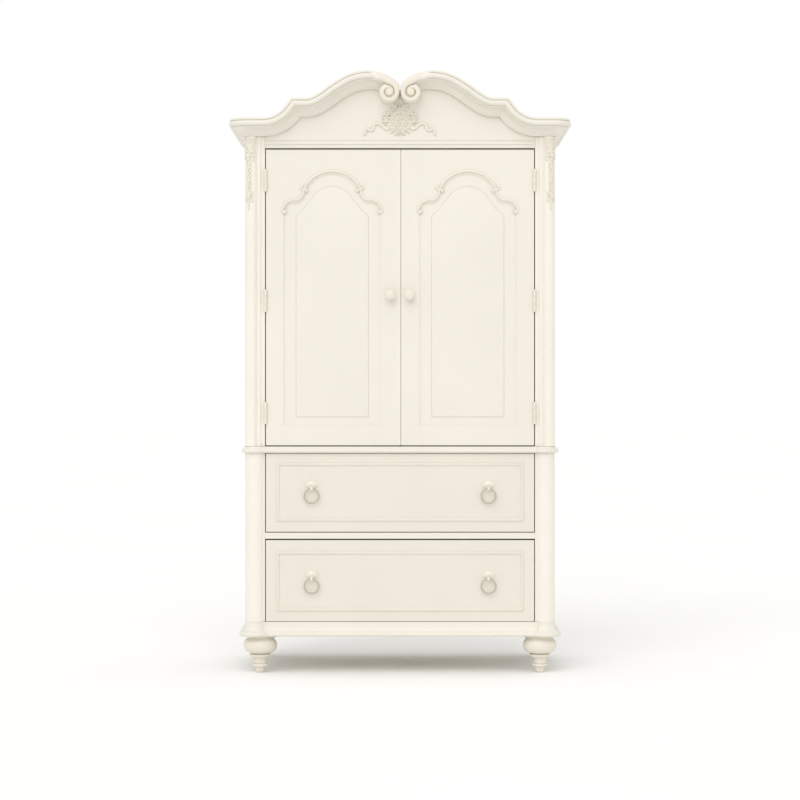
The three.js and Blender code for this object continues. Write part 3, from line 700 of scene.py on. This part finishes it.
def pediment_outline():
    end = cad("pediment_board")[0].x
    path = [(end, CORNICE_BOTTOM), *cornice_sweep(), *swan_neck()[1:]]
    normals = left_normals(path)
    width = CORNICE_HEIGHT - 2
    top = [(x + n.x * width, z + n.y * width) for (x, z), n in zip(path, normals)]
    between_posts = cad("head_moulding")[0].x
    shelf = CORNICE_BOTTOM + GAP
    foot = [(between_posts, cad("pediment_board")[0].z), (between_posts, shelf), (end, shelf)]
    half = [*foot, *top[:-1], *[(x, z - 1.5) for x, z in CROWN[:-1]], (0, 1872)]
    return half + mirror_x(half)[1:]


def add_pediment():
    run = cornice_skin()
    scroll = scroll_skin()
    for side, sign in SIDES:
        node = f"cornice_{side}"
        add(f"cornice_run_{side}", on_side(run, sign), "carcass", LEVEL, [node], sharp=30)
        add(f"cornice_scroll_{side}", on_side(scroll, sign), "carcass", CARVED, [node], sharp=50)
    low, high = cad("pediment_board")
    outline = list(reversed(pediment_outline()))
    inner = offset(outline, 0.6)
    rings = [front_ring(inner, low.y), front_ring(outline, low.y + 0.6), front_ring(outline, high.y)]
    add("pediment_board_shaped", loft(rings), "carcass", LEVEL, ["pediment_board"])


def add_head():
    low, high = cad("head_moulding")
    tall = high.z - low.z
    back = high.y - FACE
    section = [
        (1, 0), (-4.4, 0), (-5.6, 0.8), (-6, 2.4), (-5.6, 4), (-4.4, 4.8),
        (-2.6, 5.2), (-2.2, 6), (-2.2, 9.6), (-1.8, 10.2),
        *arc((-2, 13.8), (3, 3), 268, 92, 10),
        (-1.8, 17.4), (-1.4, 18), (-1.4, 20.6), (-1, 21), (-0.6, 21.6),
        (-0.4, tall - 0.6), (0.6, tall), (back, tall), (back, 0),
    ]
    rings = [[(x, FACE + y, low.z + z) for y, z in section] for x in (low.x, high.x)]
    add("head_moulding_run", loft(rings), "carcass", LEVEL, ["head_moulding"], sharp=30)


# ---- Carving ----
def blob(at, angle, length, width, height, tip=0.0, crease=0.0):
    """A carved leaf, petal or bud lying on the ground plane y=0: a dome of the given length, width
    and height, pointed by tip, with a crease along it. It rises towards -Y and dips a little under
    the ground, so that it fuses with what it lies on."""
    rows, columns = 9, 12
    turn = math.radians(angle)
    rings = []
    for i in range(rows + 1):
        t = -1 + 2 * i / rows
        t = math.sin(t * math.pi / 2) * 0.999
        swell = math.sqrt(1 - t * t) * (1 - tip * max(t, 0) ** 1.4)
        ring = []
        for j in range(columns):
            a = 2 * math.pi * j / columns
            u, v = t * length / 2, swell * width / 2 * math.cos(a)
            rise = swell * height * math.sin(a)
            if rise > 0:
                rise -= crease * swell * math.exp(-((math.cos(a) / 0.28) ** 2))
            ring.append((at[0] + u * math.cos(turn) - v * math.sin(turn), -max(rise, -1.2),
                         at[1] + u * math.sin(turn) + v * math.cos(turn)))
        rings.append(ring)
    return loft(rings)


def flower(at, radius, height, petals=5, turn=0.0):
    """Creased petals round a bud."""
    parts = []
    for i in range(petals):
        angle = turn + 360 * i / petals
        a = math.radians(angle)
        middle = (at[0] + 0.56 * radius * math.cos(a), at[1] + 0.56 * radius * math.sin(a))
        parts.append(blob(middle, angle, 0.98 * radius, 1.34 * radius * math.sin(math.pi / petals),
                          height * 0.74, crease=height * 0.3))
    parts.append(blob(at, 0, 0.55 * radius, 0.55 * radius, height * 1.2))
    return together(*parts)


def ribbon(knots, width, height):
    """A carved ribbon with a groove along it, narrower at its ends."""
    path = smooth_curve(knots, 6)
    count = len(path) - 1
    profile = [(-1, -1.2), (-1, 0.6), (-0.5, 1.0), (0, 0.72), (0.5, 1.0), (1, 0.6), (1, -1.2)]
    rings = []
    for i, ((x, z), n) in enumerate(zip(path, left_normals(path))):
        narrowing = 0.55 + 0.45 * math.sin(math.pi * min(1, 0.12 + 0.88 * i / count))
        w = width * narrowing / 2
        rings.append([(x + n.x * a * w, -(p * height if p > 0 else p), z + n.y * a * w)
                      for a, p in profile])
    return loft(rings)


def carve(name, skin, voxel, place):
    """Fuses overlapping carved pieces into one surface, then moves each point by place(x, y, z)."""
    piece = make_mesh(name, skin)
    fuse = piece.modifiers.new("fuse", "REMESH")
    fuse.mode = "VOXEL"
    fuse.voxel_size = voxel * MM
    soften = piece.modifiers.new("soften", "SMOOTH")
    soften.factor = 0.5
    soften.iterations = 2
    ready = piece.evaluated_get(bpy.context.evaluated_depsgraph_get())
    mesh = bpy.data.meshes.new_from_object(ready)
    for vertex in mesh.vertices:
        vertex.co = Vector(place(*(vertex.co / MM))) * MM
    for polygon in mesh.polygons:
        polygon.use_smooth = True
    bpy.data.objects.remove(piece)
    carved = bpy.data.objects.new(name, mesh)
    bpy.context.scene.collection.objects.link(carved)
    carved.data.materials.append(CARVED)
    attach(carved, "carcass")
    return carved


def bouquet_skin():
    """A dense bunch of flowers, wide below and pointed above, with leaves round its edge, a curled
    loop of ribbon at each corner, small drops under it and a wavy ribbon out to each side."""
    parts = [blob((0, 1778), 90, 84, 72, 1.6, 0.7), blob((0, 1764), 0, 84, 34, 1.6)]
    ribbon_knots = [(40, 1756), (50, 1756), (58, 1761), (65, 1767), (75, 1768.5), (83, 1764), (85.5, 1754),
                    (90, 1746.5), (97, 1746), (103, 1751), (108.5, 1747), (110.5, 1738), (115, 1730)]
    leaves = [((47, 1774), 0, 20, 9), ((38, 1801), 44, 20, 9), ((25, 1815), 58, 18, 8),
              ((13, 1826), 68, 14, 7), ((40, 1749), -30, 18, 8), ((27, 1741), -52, 18, 8),
              ((14, 1735), -68, 16, 6)]
    for sign in (-1, 1):
        upper_loop = [(30, 1786), *curl((50, 1788), 190, -80, 11, 6, 12)]
        lower_loop = [(28, 1762), *curl((47, 1760), 170, 440, 11, 6, 12)]
        for knots, width in ((ribbon_knots, 9.5), (upper_loop, 6), (lower_loop, 6)):
            parts.append(ribbon([(sign * x, z) for x, z in knots], width, 4))
        for (x, z), angle, length, width in leaves:
            points_to = angle if sign > 0 else 180 - angle
            parts.append(blob((sign * x, z), points_to, length, width, 5.4, 0.7, 1.8))
    blossoms = {
        1750: ((-17, 8), (0, 9), (17, 8)),
        1767: ((-32, 9), (-11, 12), (13, 12.5), (33, 9)),
        1786: ((-26, 9.5), (-2, 12.5), (21, 10.5)),
        1803: ((-13, 9), (9, 9.5)),
        1817: ((-3, 7),),
    }
    for z, row in blossoms.items():
        for x, radius in row:
            parts.append(flower((x, z), radius, 3.4 + 0.44 * radius, 5 if radius < 10 else 6, 7 * x))
    parts.append(blob((-1, 1827), 90, 9, 6, 5))
    for x, z in ((-8, 1736), (0, 1733), (8, 1736)):
        parts.append(blob((x, z), 90, 13, 5, 4.4, -0.4))
    return together(*parts)


def drop_skin():
    """One post drop, flat: x across the post from its middle, z up. A cluster of flowers with
    leaves to the sides, a leafy stem, a second small cluster and a tail."""
    parts = []
    blossoms = {
        1706: ((-11, 8), (1, 11), (13, 7.5)),
        1692: ((-15, 6.5), (-4, 9.5), (9, 9.5)),
        1678: ((-10, 8), (3, 9.5), (14, 6)),
        1664: ((-5, 7.5), (6, 7)),
        1652: ((0, 6),),
        1540: ((-6, 6.5), (5, 7.5)),
        1529: ((-1, 8),),
    }
    for z, row in blossoms.items():
        for x, radius in row:
            parts.append(flower((x, z), radius, 2.6 + 0.36 * radius, 5, 9 * x))
    stem = [(0, 1718), (2, 1690), (-2, 1664), (2.5, 1640), (-2, 1616), (1.5, 1592), (-1, 1568), (0, 1540),
            (0, 1500)]
    parts.append(ribbon(stem, 5.4, 3.4))
    for z in (1716, 1703, 1690, 1677, 1664, 1653):
        for sign in (-1, 1):
            parts.append(blob((sign * 18, z - 2 * sign), 90 - sign * 66, 15, 6, 3.4, 0.75, 1.1))
    for z in (1642, 1628, 1614, 1600, 1586, 1572, 1558):
        for sign in (-1, 1):
            parts.append(blob((sign * 5.5, z - 3 * sign), 270 - sign * 36, 15, 6, 3.4, 0.75, 1.1))
    for z in (1545, 1531, 1518):
        for sign in (-1, 1):
            parts.append(blob((sign * 11, z - sign), 270 - sign * 60, 13, 6, 3.4, 0.75, 1.1))
    for z, size in ((1512, 17), (1501, 15), (1493, 11)):
        parts.append(blob((0, z), 270, size, 7.4 - (1512 - z) * 0.14, 3.8, 0.6, 1.0))
    return together(*parts)


def add_carvings():
    backing = 1.0

    def on_the_board(x, y, z):
        return x, FACE - GAP - backing + min(y, backing), z

    def round_the_post(sign):
        """Wraps the flat drop round the post's front outer quarter."""
        middle = math.radians(246)
        sunk = 0.9

        def place(x, y, z):
            angle = middle + x / (UPPER_POST_RADIUS + 2)
            reach = UPPER_POST_RADIUS + sunk - min(y, sunk)
            across = UPPER_POST_CENTRE[0] + reach * math.cos(angle)
            return -sign * across, UPPER_POST_CENTRE[1] + reach * math.sin(angle), z

        return place

    bouquet = carve("bouquet_carving", bouquet_skin(), 0.7, on_the_board)
    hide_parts("bouquet_applique")
    for side, sign in SIDES:
        drop = carve(f"post_drop_{side}", drop_skin(), 0.75, round_the_post(sign))
        if sign > 0:
            drop.data.flip_normals()
        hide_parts(f"post_applique_{side}")


# ---- Doors ----
ARCH = (0, 1514)
ARCH_RADIUS = 101
ARCH_SPRING = 27
SHOULDER_CURL = (84, 1551)
OUTER_CURL = (154, 1486)


def opening_outline():
    """The door's arched opening about its own middle, anticlockwise: straight sides, an S over each
    shoulder and a round arch."""
    side, bottom = 158, 795
    knots = [(side, 1484), (154, 1500), (143, 1512), (128, 1515), (112, 1516), (99, 1524), (91, 1540),
             (84, 1553)]
    crown = arc(ARCH, ARCH_RADIUS - 6, ARCH_SPRING, 90, 18)
    half = [(side, bottom), *smooth_curve(knots, 5), *crown]
    return half + mirror_x(half)[1:]


def field_outline():
    """The raised field's outline, with as many points as the opening's."""
    side, bottom = 114.5, 826
    knots = [(side, 1462), (113, 1471), (106, 1478), (98, 1484), (90, 1491), (84, 1501), (78, 1511),
             (69, 1519)]
    half = [(side, bottom), *smooth_curve(knots, 5), *arc((0, 1492), 72, 24, 90, 18)]
    return half + mirror_x(half)[1:]


def between(first, second, t):
    return [(a[0] + (b[0] - a[0]) * t, a[1] + (b[1] - a[1]) * t) for a, b in zip(first, second)]


def door_frame_skin(side):
    """The frame as a left door's. The two doors differ only in where they meet."""
    low, high = cad(f"{side}_door_frame")
    x0, x1 = (low.x, high.x) if side == "left" else (-high.x, -low.x)
    edge = ((high.y, 1), (high.y - 1, 0), (FACE + 0.8, 0), (FACE + 0.3, 0.15), (FACE, 0.6))
    outer = [front_ring(rectangle(x0, x1, low.z, high.z, inset), y) for y, inset in edge]
    opening = opening_outline()
    # Depth behind the face, and how far into the opening: a quirk, an ovolo, and the panel's groove.
    moulding = ((0, 0), (0.3, 0.1), (1.1, 0.3), (1.3, 0.9), (1.4, 2.2), (1.9, 3.6), (2.8, 4.6), (3.7, 5.0),
                (8.9, 5.0), (9.0, -7), (high.y - FACE, -7))
    inner = []
    for depth, inset in moulding:
        inner.append(front_ring(moved(offset(opening, inset), -PANEL_CENTRE), FACE + depth))
    return plate_with_opening(outer, inner)


def door_panel_skin():
    """A tongue in the frame's groove, then the panel, then a fine line round the raised field."""
    back = cad("left_door_panel")[1].y
    opening, field = opening_outline(), field_outline()
    tongue, edge = offset(opening, -6), offset(opening, 4.6)
    rings = [(tongue, back), (tongue, FACE + 9.3), (edge, FACE + 9.3), (edge, FACE + 4.2)]
    # How far on from the opening to the field, and the depth behind the face.
    slope = ((0.2, 4.2), (0.6, 4.1), (0.93, 4.0), (0.955, 4.0), (0.959, 4.8), (0.966, 4.8), (0.97, 2.4),
             (0.985, 2.0), (1.0, 1.9))
    rings += [(between(opening, field, t), FACE + depth) for t, depth in slope]
    return loft([front_ring(moved(outline, -PANEL_CENTRE), y) for outline, y in rings])


def arch_moulding_skin():
    """The scrolled bead over each panel."""
    side = [(4.1, 1.7), (4.6, 1.6), (5, 1.0), (5, GAP)]
    bead = [*mirror_x(side), *arc((0, 1.8), (3.8, 3.4), 178, 2, 10), *side]
    parts = []
    hook = arc(ARCH, ARCH_RADIUS + 7.6, ARCH_SPRING, 90, 1)[0]
    tail = curl(hook, 180 + ARCH_SPRING, 500, 7.6, 3.4, 20)[1:]
    crown = arc(ARCH, ARCH_RADIUS, 180 - ARCH_SPRING, ARCH_SPRING, 44)
    taper = [0.42 + 0.58 * i / len(tail) for i in range(len(tail))]
    widths = taper + [1.0] * len(crown) + taper[::-1]
    parts.append(front_moulding(mirror_x(tail) + crown + tail, bead, FACE, widths=widths))
    for sign in (-1, 1):
        start = curl(SHOULDER_CURL, 250, 20, 3.0, 7.0, 14)
        knots = [start[-1], (93, 1543), (99, 1531), (111, 1523), (129, 1521.5), (146, 1514), (156, 1501),
                 (161, 1487)]
        run = smooth_curve(knots, 6)
        finish = curl(OUTER_CURL, 0, -270, 7.0, 3.2, 18)
        path = [(sign * x, z) for x, z in start[:-1] + run + finish[1:]]
        widths = [0.42 + 0.5 * i / len(start) for i in range(len(start) - 1)]
        widths += [0.92] * len(run)
        widths += [0.92 - 0.5 * i / len(finish) for i in range(1, len(finish))]
        parts.append(front_moulding(path, bead, FACE, widths=widths))
        for at, size in ((SHOULDER_CURL, 4), (OUTER_CURL, 4.4), (hook, 4.2)):
            button = turned([(0, 0), (size, 0), (size, 3.4), (size * 0.7, 4.9), (0, 5.6)], 20, "front")
            parts.append(shifted(button, sign * at[0], FACE - GAP, at[1]))
    return shifted(together(*parts), -PANEL_CENTRE)


def meeting_bead_skin():
    """On the left door's meeting edge: a flat half-round bead, and a thin tongue that fills most of
    the gap to the right door."""
    low, high = cad("left_door_frame")
    bottom, top = low.z + 1.5, high.z - 1.5
    section = [(-8.4, 0.6), (-8.2, -0.2), *arc((-4, -0.2), (3.9, 1.2), 180, 360, 10), (0.2, 0.6)]
    bead = loft([[(high.x + x - 0.5, FACE + y, z) for x, y in section] for z in (bottom, top)])
    tongue = board((high.x - 0.4, FACE + 1.3, bottom), (high.x + 0.7, FACE + 10, top), 0.2)
    return together(bead, tongue)


def knob_skin():
    low, high = cad("left_door_knob")
    middle = (low + high) / 2
    profile = [
        (0, 0), (10.8, 0), (11, 1), (10.6, 2.2), (9.4, 2.8), (8.6, 3.2), (7, 5.4), (6.1, 8), (6.3, 11),
        (7.6, 13.2), (10.5, 14.8), (14.4, 17.2), (16.6, 19.8), (17, 22), (16.4, 24.2), (14.2, 26.6),
        (10.4, 28.4), (8.8, 28.6), (8.2, 28.3), (7.4, 28.7), (4.4, 29.7), (0, 30),
    ]
    return shifted(turned(profile, 48, "front"), middle.x, high.y, middle.z)


def hinge_skins(node):
    """The frame leaf with its pin and outer knuckles, and the door leaf with the middle knuckle."""
    low, high = cad(f"{node}_hinge_frame_leaf")
    x, y = HINGE_AXIS
    z = (low.z + high.z) / 2
    half, third = (high.z - low.z) / 2, (high.z - low.z) / 6
    knuckle, ease = 4.4, 0.6

    def barrel(bottom, top):
        profile = [(0, bottom), (knuckle - ease, bottom), (knuckle, bottom + ease), (knuckle, top - ease),
                   (knuckle - ease, top), (0, top)]
        return shifted(turned(profile, 24), x, y, z)

    def tongue(xs, bottom, top):
        """What joins a leaf to its knuckle."""
        return board((xs[0], y + 3, z + bottom), (xs[1], FACE, z + top), 0.2)

    def leaf(x0, x1):
        plate = board((x0, FACE - 0.2, z - half), (x1, high.y, z + half), 0.3)
        heads = []
        for height in (-24, 0, 24):
            screw = turned([(0, 0), (3.2, 0), (2.6, 0.4), (0, 0.5)], 16, "x")
            heads.append(shifted(screw, x1 - 0.3, FACE + 11, z + height))
        return together(plate, *heads)

    door_edge = cad("left_door_frame")[0].x
    frame_x = (-POST_INNER + GAP, -POST_INNER + GAP + 1)
    door_x = (door_edge - GAP - 1, door_edge - GAP)
    frame_leaf = together(leaf(*frame_x), barrel(-half, -third - GAP), barrel(third + GAP, half),
                          tongue(frame_x, -half, -third - GAP), tongue(frame_x, third + GAP, half))
    door_leaf = together(leaf(*door_x), barrel(-third, third), tongue(door_x, -third, third))
    return frame_leaf, door_leaf


def add_doors():
    add("left_door_meeting_bead", meeting_bead_skin(), "left_door", UPRIGHT, ["left_door_frame"], 30)
    parts = [
        ("panel", door_panel_skin(), UPRIGHT, "ivory_paint", 16),
        ("arch_moulding", arch_moulding_skin(), CARVED, "ivory_paint", 45),
        ("knob", knob_skin(), ENAMEL, "hardware_paint", 50),
    ]
    for side, sign in SIDES:
        door = f"{side}_door"
        frame_skin = on_side(door_frame_skin(side), sign)
        add(f"{door}_frame_fine", frame_skin, door, UPRIGHT, [f"{door}_frame"], 30)
        for part, skin, look, slot, sharp in parts:
            node = f"{door}_{part}"
            add(f"{node}_fine", on_side(skin, sign), door, look, [node], sharp)
        for position in ("lower", "middle", "upper"):
            node = f"{door}_{position}_hinge"
            halves = zip(("fixed_half", "moving_half"), ("frame_leaf", "door_leaf"), ("carcass", door),
                         hinge_skins(f"left_door_{position}"))
            for half, leaf, body, skin in halves:
                add(f"{node}_{half}", on_side(skin, sign), body, ENAMEL, [f"{node}_{leaf}"], 40)


# ---- Drawers ----
def bead_frame_skin(low, high):
    profile = [(0, 0.1), (0, 1.4), (0.6, 2.0), (1.6, 2.2), (2.0, 2.6),
               *arc((5.6, 2.2), (3.4, 2.2), 172, 8, 10), (9.2, 2.0), (10.2, 1.4), (11, 0.6), (11, 0.1)]
    half_width = DRAWER_BEAD_HALF_WIDTH
    return front_moulding(rectangle(-half_width, half_width, low, high), profile, FACE, closed=True)


def add_drawer_box(drawer):
    body = f"{drawer}_drawer"
    low, high = cad(f"{drawer}_drawer_box")
    wall, lift = 12, 6
    # The front and back boards stand between the sides, and the bottom lies between all four.
    x0, x1 = low.x + wall + 0.2, high.x - wall - 0.2
    y0, y1 = low.y + wall, high.y - wall
    pieces = {
        "left_side": ((low.x, low.y, low.z), (low.x + wall, high.y, high.z), WOOD),
        "right_side": ((high.x - wall, low.y, low.z), (high.x, high.y, high.z), WOOD),
        "front_board": ((x0, low.y, low.z), (x1, y0, high.z), CROSS_WOOD),
        "back_board": ((x0, y1, low.z), (x1, high.y, high.z), CROSS_WOOD),
        "bottom_board": ((x0, y0 + 0.2, low.z + 0.5), (x1, y1 - 0.2, low.z + lift), WOOD),
    }
    for part, (corner, opposite, look) in pieces.items():
        skin = board(corner, opposite, 1.0)
        add(f"{body}_{part}", skin, body, look, [f"{body}_box"])


def plate_skin(node, ring_node):
    """A scalloped backplate with a domed centre, a stem, and the eye that holds the ring."""
    low, high = cad(node)
    ring_low, ring_high = cad(ring_node)
    x = (low.x + high.x) / 2
    y = (ring_low.y + ring_high.y) / 2
    pivot = ring_high.z - RING_WIRE
    rose_middle = pivot + 13
    rim = [(0, 0), (14.4, 0), (14.6, 0.8), (14.0, 1.8), (12.4, 2.4), (11.6, 2.2), (10.8, 2.6), (9.4, 4.2)]
    round_points, faces = turned(rim, 72, "front", 12, 0.03)
    widening = (high.x - low.x) / 30
    rose = [(px * widening, py, pz) for px, py, pz in round_points], faces
    button = [(0, 1), (9.6, 1), (9.2, 3.6), (7.4, 4.8), (4.6, 5.4), (3.8, 6.2), (2.2, 6.9), (0, 7.1)]
    eye = [(3.7, -4), (6.1, -4), (6.5, -3.4), (6.5, 3.4), (6.1, 4), (3.7, 4)]
    return together(
        shifted(rose, x, high.y, rose_middle),
        shifted(turned(button, 36, "front"), x, high.y, rose_middle),
        board((x - 3.6, y - 1, pivot + 4.2), (x + 3.6, high.y, pivot + 7.5), 0.8),
        shifted(turned_ring(eye, 32), x, y, pivot),
    )


def ring_skin(node):
    """The pull ring, a little stouter at the bottom."""
    low, high = cad(node)
    x, y, z = (low + high) / 2
    radius = (high.z - low.z) / 2 - RING_WIRE
    rings = []
    for i in range(72):
        a = 2 * math.pi * i / 72
        thick = RING_WIRE - 0.2 + 0.2 * math.cos(a - math.pi * 1.5)
        section = arc((radius, 0), thick, 0, 337.5, 15)
        rings.append([(x + r * math.cos(a), y + depth, z + r * math.sin(a)) for r, depth in section])
    return loft(rings, closed=True)


def add_drawers():
    for drawer, bead in DRAWER_BEADS.items():
        body = f"{drawer}_drawer"
        front = f"{body}_front"
        low, high = cad(front)
        edge = ((high.y, 0.8), (high.y - 0.8, 0), (FACE + 2, 0), (FACE + 0.6, 0.5), (FACE + 0.1, 1.2),
                (FACE, 2.2))
        rings = [front_ring(rectangle(low.x, high.x, low.z, high.z, inset), y) for y, inset in edge]
        add(f"{front}_board", loft(rings), body, DRAWER_PAINT, [front])
        add(f"{body}_bead_frame", bead_frame_skin(*bead), body, DRAWER_PAINT, [front], sharp=50)
        add_drawer_box(drawer)
        for side, _ in SIDES:
            pull = f"{drawer}_{side}_pull"
            plate, ring = f"{pull}_plate", f"{pull}_ring"
            add(f"{plate}_cast", plate_skin(plate, ring), body, ENAMEL, [plate], 45)
            add(f"{ring}_cast", ring_skin(ring), f"{drawer}_{side}_ring", DARK_RING_ENAMEL, [ring], 60)


# ---- Studio ----
def add_floor():
    material, nodes, link, shader = node_material("studio_floor")
    tone = ramp(nodes, link, noise(nodes, link, 0.8), (0.3, 0.965), (0.7, 0.98))
    link(tone, shader.inputs["Base Color"])
    shader.inputs["Roughness"].default_value = 0.9
    shader.inputs["Specular IOR Level"].default_value = 0.1
    reach = 60000
    corners = [(x, y, 0) for x, y in rectangle(-reach, reach, -reach, reach)]
    floor = make_mesh("studio_floor", (corners, [(0, 1, 2, 3)]))
    floor.data.materials.append(material)


def add_key_light():
    """One broad, soft light from the front, above and to the left."""
    data = bpy.data.lights.new("key_light", "SUN")
    data.energy = 1.0
    data.angle = math.radians(50)
    data.color = (1.0, 0.99, 0.975)
    lamp = bpy.data.objects.new("key_light", data)
    lamp.rotation_euler = Vector((0.22, 1.0, -0.9)).to_track_quat("-Z", "Y").to_euler()
    bpy.context.scene.collection.objects.link(lamp)


def add_studio():
    add_floor()
    scene = bpy.context.scene
    scene.view_settings.view_transform = "Standard"
    world = bpy.data.worlds.new("studio_sky")
    world.use_nodes = True
    nodes, link = world.node_tree.nodes, world.node_tree.links.new
    sky = nodes["Background"]
    sky.inputs["Color"].default_value = (1.0, 0.995, 0.985, 1)
    sky.inputs["Strength"].default_value = 0.84
    backdrop = nodes.new("ShaderNodeBackground")
    backdrop.inputs["Color"].default_value = (1, 1, 1, 1)
    backdrop.inputs["Strength"].default_value = 1.0
    seen = nodes.new("ShaderNodeLightPath")
    choose = nodes.new("ShaderNodeMixShader")
    link(seen.outputs["Is Camera Ray"], choose.inputs["Fac"])
    link(sky.outputs["Background"], choose.inputs[1])
    link(backdrop.outputs["Background"], choose.inputs[2])
    link(choose.outputs["Shader"], nodes["World Output"].inputs["Surface"])
    scene.world = world
    add_key_light()


def add_camera():
    """A level camera in front of the middle, a little under half the armoire's height."""
    data = bpy.data.cameras.new("camera")
    data.sensor_width = 36
    data.lens = 95.2
    data.clip_end = 200
    camera = bpy.data.objects.new("camera", data)
    distance = 6.8
    eye_height = 0.879
    camera.location = (0, FACE * MM - distance, eye_height)
    camera.rotation_euler = (math.radians(90), 0, 0)
    bpy.context.scene.collection.objects.link(camera)
    bpy.context.scene.camera = camera


add_camera()
dress_boards()
add_rod()
add_posts()
add_waist()
add_base()
add_feet()
add_pediment()
add_head()
add_carvings()
add_doors()
add_drawers()
add_studio()
